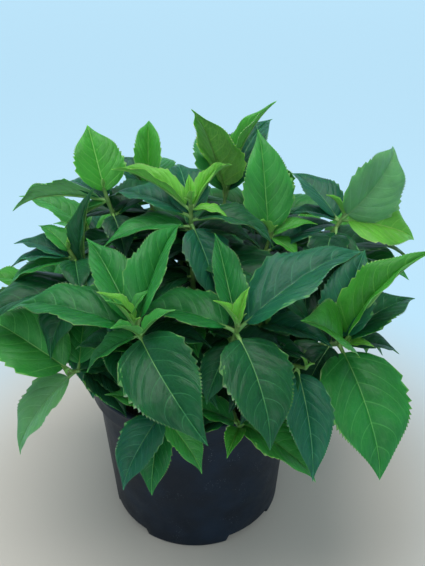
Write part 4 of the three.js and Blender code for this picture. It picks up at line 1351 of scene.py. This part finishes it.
# Leaves: thin quilted blades with toothed margins and a drawn-out tip, on short channelled stalks.
# Sunken side veins leave the midrib and arch forward; beneath, the midrib stands out as a round rib.
# The grid's rows run along the veins: each row leaves the midrib at its share `start` of the blade.
VEIN_LEAD = 0.5
LEAD_RISE = 0.055
VEIN_SPREAD = 1.3
BASE_ROWS = [0, 0.001, 0.003]
FINE_COLUMNS = [0, 0.05, 0.14, 0.27, 0.41, 0.55, 0.69, 0.82, 0.93, 1]
UNDER_COLUMNS = [0, 0.14, 0.41, 0.69, 0.82, 0.93, 1]
SMALL_COLUMNS = [0, 0.12, 0.36, 0.62, 0.88, 1]
SMALL_UNDER_COLUMNS = [0, 0.36, 0.88, 1]
SMALL_LEAF = 34
BLADE_THICKNESS = 0.5
RIB_SIDES = 6
RIB_STATIONS = np.array(
    [0, 0.01, 0.03, 0.055, 0.08, 0.12, 0.18, 0.26, 0.35, 0.44, 0.53, 0.62, 0.7, 0.79, 0.87, 0.94]
)


def both_sides(columns):
    return np.array([-c for c in columns[:0:-1]] + columns)


class LeafGrid:
    """The rows, columns and faces that every leaf of one size shares."""

    def __init__(self, veins, rows_a_vein, columns, under_columns):
        count = veins * rows_a_vein
        steps = np.arange(1, count + 1)
        even = np.concatenate([np.array(BASE_ROWS) ** (1 / VEIN_SPREAD), steps / count])
        self.start = even**VEIN_SPREAD
        self.vein = veins * even
        self.tooth = np.concatenate([np.zeros(len(BASE_ROWS)), np.where(steps % 2, -1, 1)])
        self.across = both_sides(columns)
        self.under = both_sides(under_columns)[1:-1]
        self.number_points()

    def number_points(self):
        rows, wide = len(self.start), len(self.across)
        upper = np.arange(rows * wide).reshape(rows, wide)
        lower = np.arange(rows * len(self.under)).reshape(rows, -1) + rows * wide
        for numbers in (upper, lower):
            numbers[0] = upper[0, 0]
            numbers[-1] = upper[-1, 0]
        lower = np.column_stack([upper[:, 0], lower, upper[:, -1]])
        upper_faces = grid_faces(upper)
        lower_faces = grid_faces(lower[:, ::-1])
        stations = len(RIB_STATIONS)
        rib = np.arange(stations * RIB_SIDES).reshape(stations, RIB_SIDES) + rows * (wide + len(self.under))
        rib[0], rib[-1] = rib[0, 0], rib[-1, 0]
        rib_faces = grid_faces(np.column_stack([rib, rib[:, :1]]))
        every = np.concatenate([upper_faces, lower_faces, rib_faces])
        used = np.unique(every[every >= 0])
        renumber = np.full(every.max() + 2, -1)
        renumber[used] = np.arange(len(used))
        self.used = used
        self.faces = renumber[every]
        self.part = np.repeat([0, 1, 2], [len(upper_faces), len(lower_faces), len(rib_faces)])
        margin = np.unique(np.concatenate([upper[:, 0], upper[:, -1]]))
        self.on_margin = np.isin(used, margin)


GROWN_GRID = LeafGrid(7, 7, FINE_COLUMNS, UNDER_COLUMNS)
SMALL_GRID = LeafGrid(6, 4, SMALL_COLUMNS, SMALL_UNDER_COLUMNS)
CURL = 40
TOOTH_DEPTH = 0.06
TOOTH_LEAN = 0.014
TOOTH_FADE = 0.5
TEETH_BEGIN = (0.14, 0.3)
TEETH_END = (0.88, 0.97)
ACUMEN = 0.34
QUILT_DEPTH = 0.011
WAVES = 2.3
WAVE_HEIGHT = 0.01
WAVE_PLAY = 0.02
TIP_FALL = 0.02
TIP_FALL_PLAY = 0.05
FALL_FROM = 0.62
TIP_SWAY = 0.09
STALK_RADIUS = 1.25
STALK_TAPER = 0.86
FULL_STALK = 75


def smooth_step(value, low, high):
    share = np.clip((value - low) / (high - low), 0, 1)
    return share * share * (3 - 2 * share)


def tip_droop(shape, blade, draw):
    """How far each place on the blade falls towards the tip, and how far it sways to one side."""
    past = np.clip((blade - FALL_FROM) / (1 - FALL_FROM), 0, 1)
    fall = (TIP_FALL + TIP_FALL_PLAY * draw[4]) * shape["length"] * past**2
    sway = (draw[5] - 0.5) * TIP_SWAY * shape["length"] * blade**2
    return fall, sway


def blade_points(found, grid, across, draw):
    """Points of the blade's upper surface, with their place on it and the upper face's way."""
    shape = found["shape"]
    side = leaf_frame(shape)[1]
    start, v = grid.start[:, None], np.abs(across)[None, :]
    lead = VEIN_LEAD * (1 - start) * (1 - np.exp(-start / LEAD_RISE))
    blade = start + lead * (0.45 * v + 0.55 * v**2)
    toothed = (v > 0.999) * smooth_step(blade, *TEETH_BEGIN) * (1 - smooth_step(blade, *TEETH_END))
    toothed = toothed * grid.tooth[:, None] * (1 - TOOTH_FADE * blade)
    blade = np.clip(blade + toothed * TOOTH_LEAN, 0, 1)
    share = PETIOLE_SHARE + (1 - PETIOLE_SHARE) * blade
    half = half_width(share, shape) * (1 - ACUMEN * smooth_step(blade, 0.6, 0.95))
    half = half * (1 + toothed * TOOTH_DEPTH)
    midrib, upper = midrib_at(found["base"], shape, share)
    fold, curl = math.radians(shape["fold"]), math.radians(CURL * (0.7 + 0.6 * draw[0]))
    first = fold + curl / 2
    sideways = (math.sin(first) - np.sin(first - curl * v)) / curl
    raised = (np.cos(first - curl * v) - math.cos(first)) / curl
    length = shape["length"]
    veins = grid.vein[:, None]
    quilt = np.abs(np.cos(math.pi * veins)) ** 0.7 * np.minimum(1, v / 0.14) * (1 - v**4)
    lane = np.round(veins) + 7 * draw[0]
    quilt = quilt * (0.75 + 0.4 * np.sin(6.28 * (2.2 * v + 0.37 * lane * np.sign(across))) * (1 - v))
    quilt = quilt * np.minimum(1, blade / 0.1) * (1 - smooth_step(blade, 0.82, 0.98))
    wave = np.sin(2 * math.pi * (WAVES + draw[1]) * blade + 6.28 * draw[2] + 1.5 * np.sign(across))
    wave = wave * v**3 * np.sin(math.pi * blade)
    waviness = WAVE_HEIGHT + WAVE_PLAY * draw[3]
    height = half * raised + QUILT_DEPTH * length * quilt + waviness * length * wave
    fall, sway = tip_droop(shape, blade, draw)
    points = midrib + upper * (height - fall)[..., None]
    points = points + side * (np.sign(across) * half * sideways + sway)[..., None]
    place = np.stack([blade, across + 0 * blade], -1)
    ribs = np.stack([veins + 0 * v, half * across / 10], -1)
    return points, upper, place, ribs


def rib_points(found, draw):
    """The leaf's stalk, which runs on under the blade as its midrib."""
    shape = found["shape"]
    side = leaf_frame(shape)[1]
    size = min(1, 0.35 + 0.65 * shape["length"] / FULL_STALK)
    blade = np.clip((RIB_STATIONS - PETIOLE_SHARE) / (1 - PETIOLE_SHARE), 0, 1)
    middle, upper = midrib_at(found["base"], shape, RIB_STATIONS)
    heel = 1 + 0.5 * np.exp(-RIB_STATIONS / 0.025)
    radius = STALK_RADIUS * size * (1 - STALK_TAPER * blade**0.7) * heel
    sunk = radius * 0.75 * smooth_step(RIB_STATIONS, 0.04, 0.14)
    fall, sway = tip_droop(shape, blade, draw)
    middle = middle - upper * (sunk + fall)[:, None] + side * sway[:, None]
    turns = np.linspace(0, 2 * math.pi, RIB_SIDES, endpoint=False)[None, :, None]
    round_about = np.cos(turns) * upper[:, None] + np.sin(turns) * side
    points = middle[:, None] + round_about * radius[:, None, None]
    points[0], points[-1] = middle[0], middle[-1]
    place = np.stack([np.repeat(RIB_STATIONS[:, None], RIB_SIDES, 1), np.zeros(points.shape[:2])], -1)
    return points, place


def grid_of(found):
    coarse = found["shape"]["length"] < SMALL_LEAF or found["shape"]["tone"] == "shade"
    return SMALL_GRID if coarse else GROWN_GRID


def leaf_mesh(found, number, order):
    """Points and both maps of one leaf."""
    grid = grid_of(found)
    draw = [chance(number, order, 61 + i) for i in range(6)]
    top, _, top_place, top_ribs = blade_points(found, grid, grid.across, draw)
    under, upper, under_place, under_ribs = blade_points(found, grid, grid.under, draw)
    thin = BLADE_THICKNESS * (1 - np.abs(grid.under)[None, :, None] ** 6)
    under = under - upper * thin
    rib, rib_place = rib_points(found, draw)
    layers = [(top, under, rib), (top_place, under_place, rib_place), (top_ribs, under_ribs, rib_place)]
    stacked = [np.concatenate([p.reshape(-1, p.shape[-1]) for p in parts]) for parts in layers]
    return grid, *[points[grid.used] for points in stacked]


# A tone: the kind of leaf that it is joined with, its colour, and that of its veins and its margin.
TONES = {
    "shade": ("old", colour(13, 52, 30), colour(46, 100, 60), colour(50, 84, 48)),
    "dark": ("old", colour(15, 66, 33), colour(58, 122, 74), colour(68, 98, 54)),
    # Partly painted sheen: the old leaves' own dark green, made bluer to stand in for the pale blue light
    # they reflect.
    "blue": ("old", colour(21, 77, 52), colour(74, 138, 100), colour(66, 104, 68)),
    "mature": ("old", colour(22, 88, 37), colour(84, 152, 84), colour(96, 122, 62)),
    "mid": ("grown", colour(32, 102, 42), colour(88, 158, 82), colour(92, 138, 64)),
    "light": ("grown", colour(44, 114, 46), colour(104, 172, 86), colour(112, 160, 74)),
    # Painted sheen: a pale blue-green that stands in for the glossy reflection on leaves that face the
    # light.
    "dusty": ("grown", colour(78, 126, 76), colour(118, 168, 112), colour(100, 140, 100)),
    "fresh": ("fresh", colour(48, 118, 36), colour(116, 180, 80), colour(128, 172, 78)),
    "young": ("young", colour(82, 144, 46), colour(146, 192, 90), colour(146, 172, 82)),
    "bud": ("young", colour(84, 136, 52), colour(142, 180, 92), colour(132, 146, 76)),
}


THIN_LEAF = {"Subsurface_Weight": 0.5, "Subsurface_Radius": (0.5, 1.0, 0.2), "Subsurface_Scale": 0.001}
THIN_LEAF["Specular_IOR_Level"] = 0.16
UNDERSIDE = colour(120, 166, 92)


def leaf_finish(name, base, vein, margin, beneath):
    """Upper or lower face of a leaf: pale veins, fine net between them, and an edge of its own tint."""
    material, nodes, shader, place = new_finish(name, **THIN_LEAF)
    blade = nodes.node("ShaderNodeUVMap", {"uv_map": "blade"})
    ribs = nodes.node("ShaderNodeUVMap", {"uv_map": "ribs"})
    share = nodes.node("ShaderNodeSeparateXYZ", None, {"Vector": blade}, 0)
    across = abs(nodes.node("ShaderNodeSeparateXYZ", None, {"Vector": blade}, 1))
    vein_number = nodes.node("ShaderNodeSeparateXYZ", None, {"Vector": ribs}, 0)
    from_midrib = abs(nodes.node("ShaderNodeSeparateXYZ", None, {"Vector": ribs}, 1))
    from_vein = abs(nodes.sum("FRACT", vein_number) - 0.5)
    veins = (from_vein + across * 0.02).rises(0.055, 0.015) * across.rises(0.97, 0.72)
    midrib = from_midrib.rises(0.045, 0.02)
    lines = nodes.sum("MAXIMUM", veins * (0.85 if beneath else 0.45), midrib)
    cells = {"Vector": ribs, "Scale": 3.4}
    from_net = nodes.node("ShaderNodeTexVoronoi", {"feature": "DISTANCE_TO_EDGE"}, cells)
    net = from_net.rises(0.1, 0.02)
    patches = nodes.noise(place, 55, 3.0).rises(0.3, 0.72)
    lighter = tuple(min(1, part * 1.3) for part in base[:3]) + (1.0,)
    body = patches.mixed(base, lighter)
    netted = (net * (0.3 if beneath else 0.07)).mixed(body, vein)
    veined = (lines * (0.85 if beneath else 0.8)).mixed(netted, vein)
    edge = across.rises(0.955, 0.995) * share.rises(0.08, 0.2)
    (edge * 0.6).mixed(veined, margin).feeds(shader, "Base Color")
    dullness = nodes.noise(place, 90, 2.0) * 0.16 + (0.5 if beneath else 0.3) + lines * 0.1
    dullness.feeds(shader, "Roughness")
    height = from_net.rises(0.0, 0.3) * (-0.3 if beneath else 0.35) + lines * (1.0 if beneath else -0.8)
    height = height + nodes.noise(place, 420, 2.0) * 0.7
    height.bumped(0.4, 0.0005).feeds(shader, "Normal")
    return material


def under_colour(base):
    """The lower face is paler than the upper."""
    return tuple(0.65 * part + 0.35 * pale for part, pale in zip(base, UNDERSIDE))


def stalk_finish():
    material, nodes, shader, place = new_finish("leaf_stalk", Roughness=0.45)
    tint = nodes.noise(place, 120, 2.0).rises(0.35, 0.7)
    tint.mixed(colour(84, 130, 54), colour(112, 154, 72)).feeds(shader, "Base Color")
    nodes.noise(place, 800, 2.0).bumped(0.25, 0.0003).feeds(shader, "Normal")
    return material


leaf_stalk = stalk_finish()
finishes = {}
for tone, (_, base, vein, margin) in TONES.items():
    above = leaf_finish(tone + "_leaf", base, vein, margin, False)
    below = leaf_finish(tone + "_leaf_underside", under_colour(base), vein, margin, True)
    finishes[tone] = [above, below]

MOST_TRIANGLES = 180000


def leaf_piece(name, leaves):
    """One joined piece from leaves of one kind: (leaf, shoot number, order) triples."""
    tones = sorted({found["shape"]["tone"] for found, _, _ in leaves})
    materials = [material for tone in tones for material in finishes[tone]] + [leaf_stalk]
    points, faces, slots, places, ribs, margins = [], [], [], [], [], []
    count = 0
    for found, number, order in leaves:
        grid, leaf_points, place, rib = leaf_mesh(found, number, order)
        first_slot = 2 * tones.index(found["shape"]["tone"])
        slot_of = np.array([first_slot, first_slot + 1, len(materials) - 1])
        points.append(leaf_points)
        faces.append(np.where(grid.faces >= 0, grid.faces + count, -1))
        slots.append(slot_of[grid.part])
        places.append(place)
        ribs.append(rib)
        margins.append(grid.on_margin)
        count += len(leaf_points)
    faces = np.concatenate(faces)
    mesh = mesh_of(name, np.concatenate(points) * MM, faces, materials, np.concatenate(slots))
    corners = faces[faces >= 0]
    for label, values in (("blade", places), ("ribs", ribs)):
        layer = mesh.uv_layers.new(name=label)
        layer.uv.foreach_set("vector", np.concatenate(values)[corners].astype(np.float32).ravel())
    ends = np.empty(2 * len(mesh.edges), dtype=np.int32)
    mesh.edges.foreach_get("vertices", ends)
    sharp = np.concatenate(margins)[ends.reshape(-1, 2)].all(1)
    mesh.attributes.new("sharp_edge", "BOOLEAN", "EDGE").data.foreach_set("value", sharp)
    return new_object(name, mesh)


def triangles_of(found):
    return int(((grid_of(found).faces >= 0).sum(1) - 2).sum())


def finish_piece(kind, part, leaves):
    piece = leaf_piece(f"{kind}_leaves_{part}", leaves)
    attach(piece, "root")
    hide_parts(*sorted({SHOOTS[number]["name"] + "_leaves" for _, number, _ in leaves}))


for kind in ("old", "grown", "fresh", "young"):
    part, load, waiting = 1, 0, []
    for shoot_number, leaves in enumerate(placed):
        for order, found in enumerate(leaves):
            if TONES[found["shape"]["tone"]][0] != kind:
                continue
            if load + triangles_of(found) > MOST_TRIANGLES:
                finish_piece(kind, part, waiting)
                part, load, waiting = part + 1, 0, []
            waiting.append((found, shoot_number, order))
            load += triangles_of(found)
    finish_piece(kind, part, waiting)
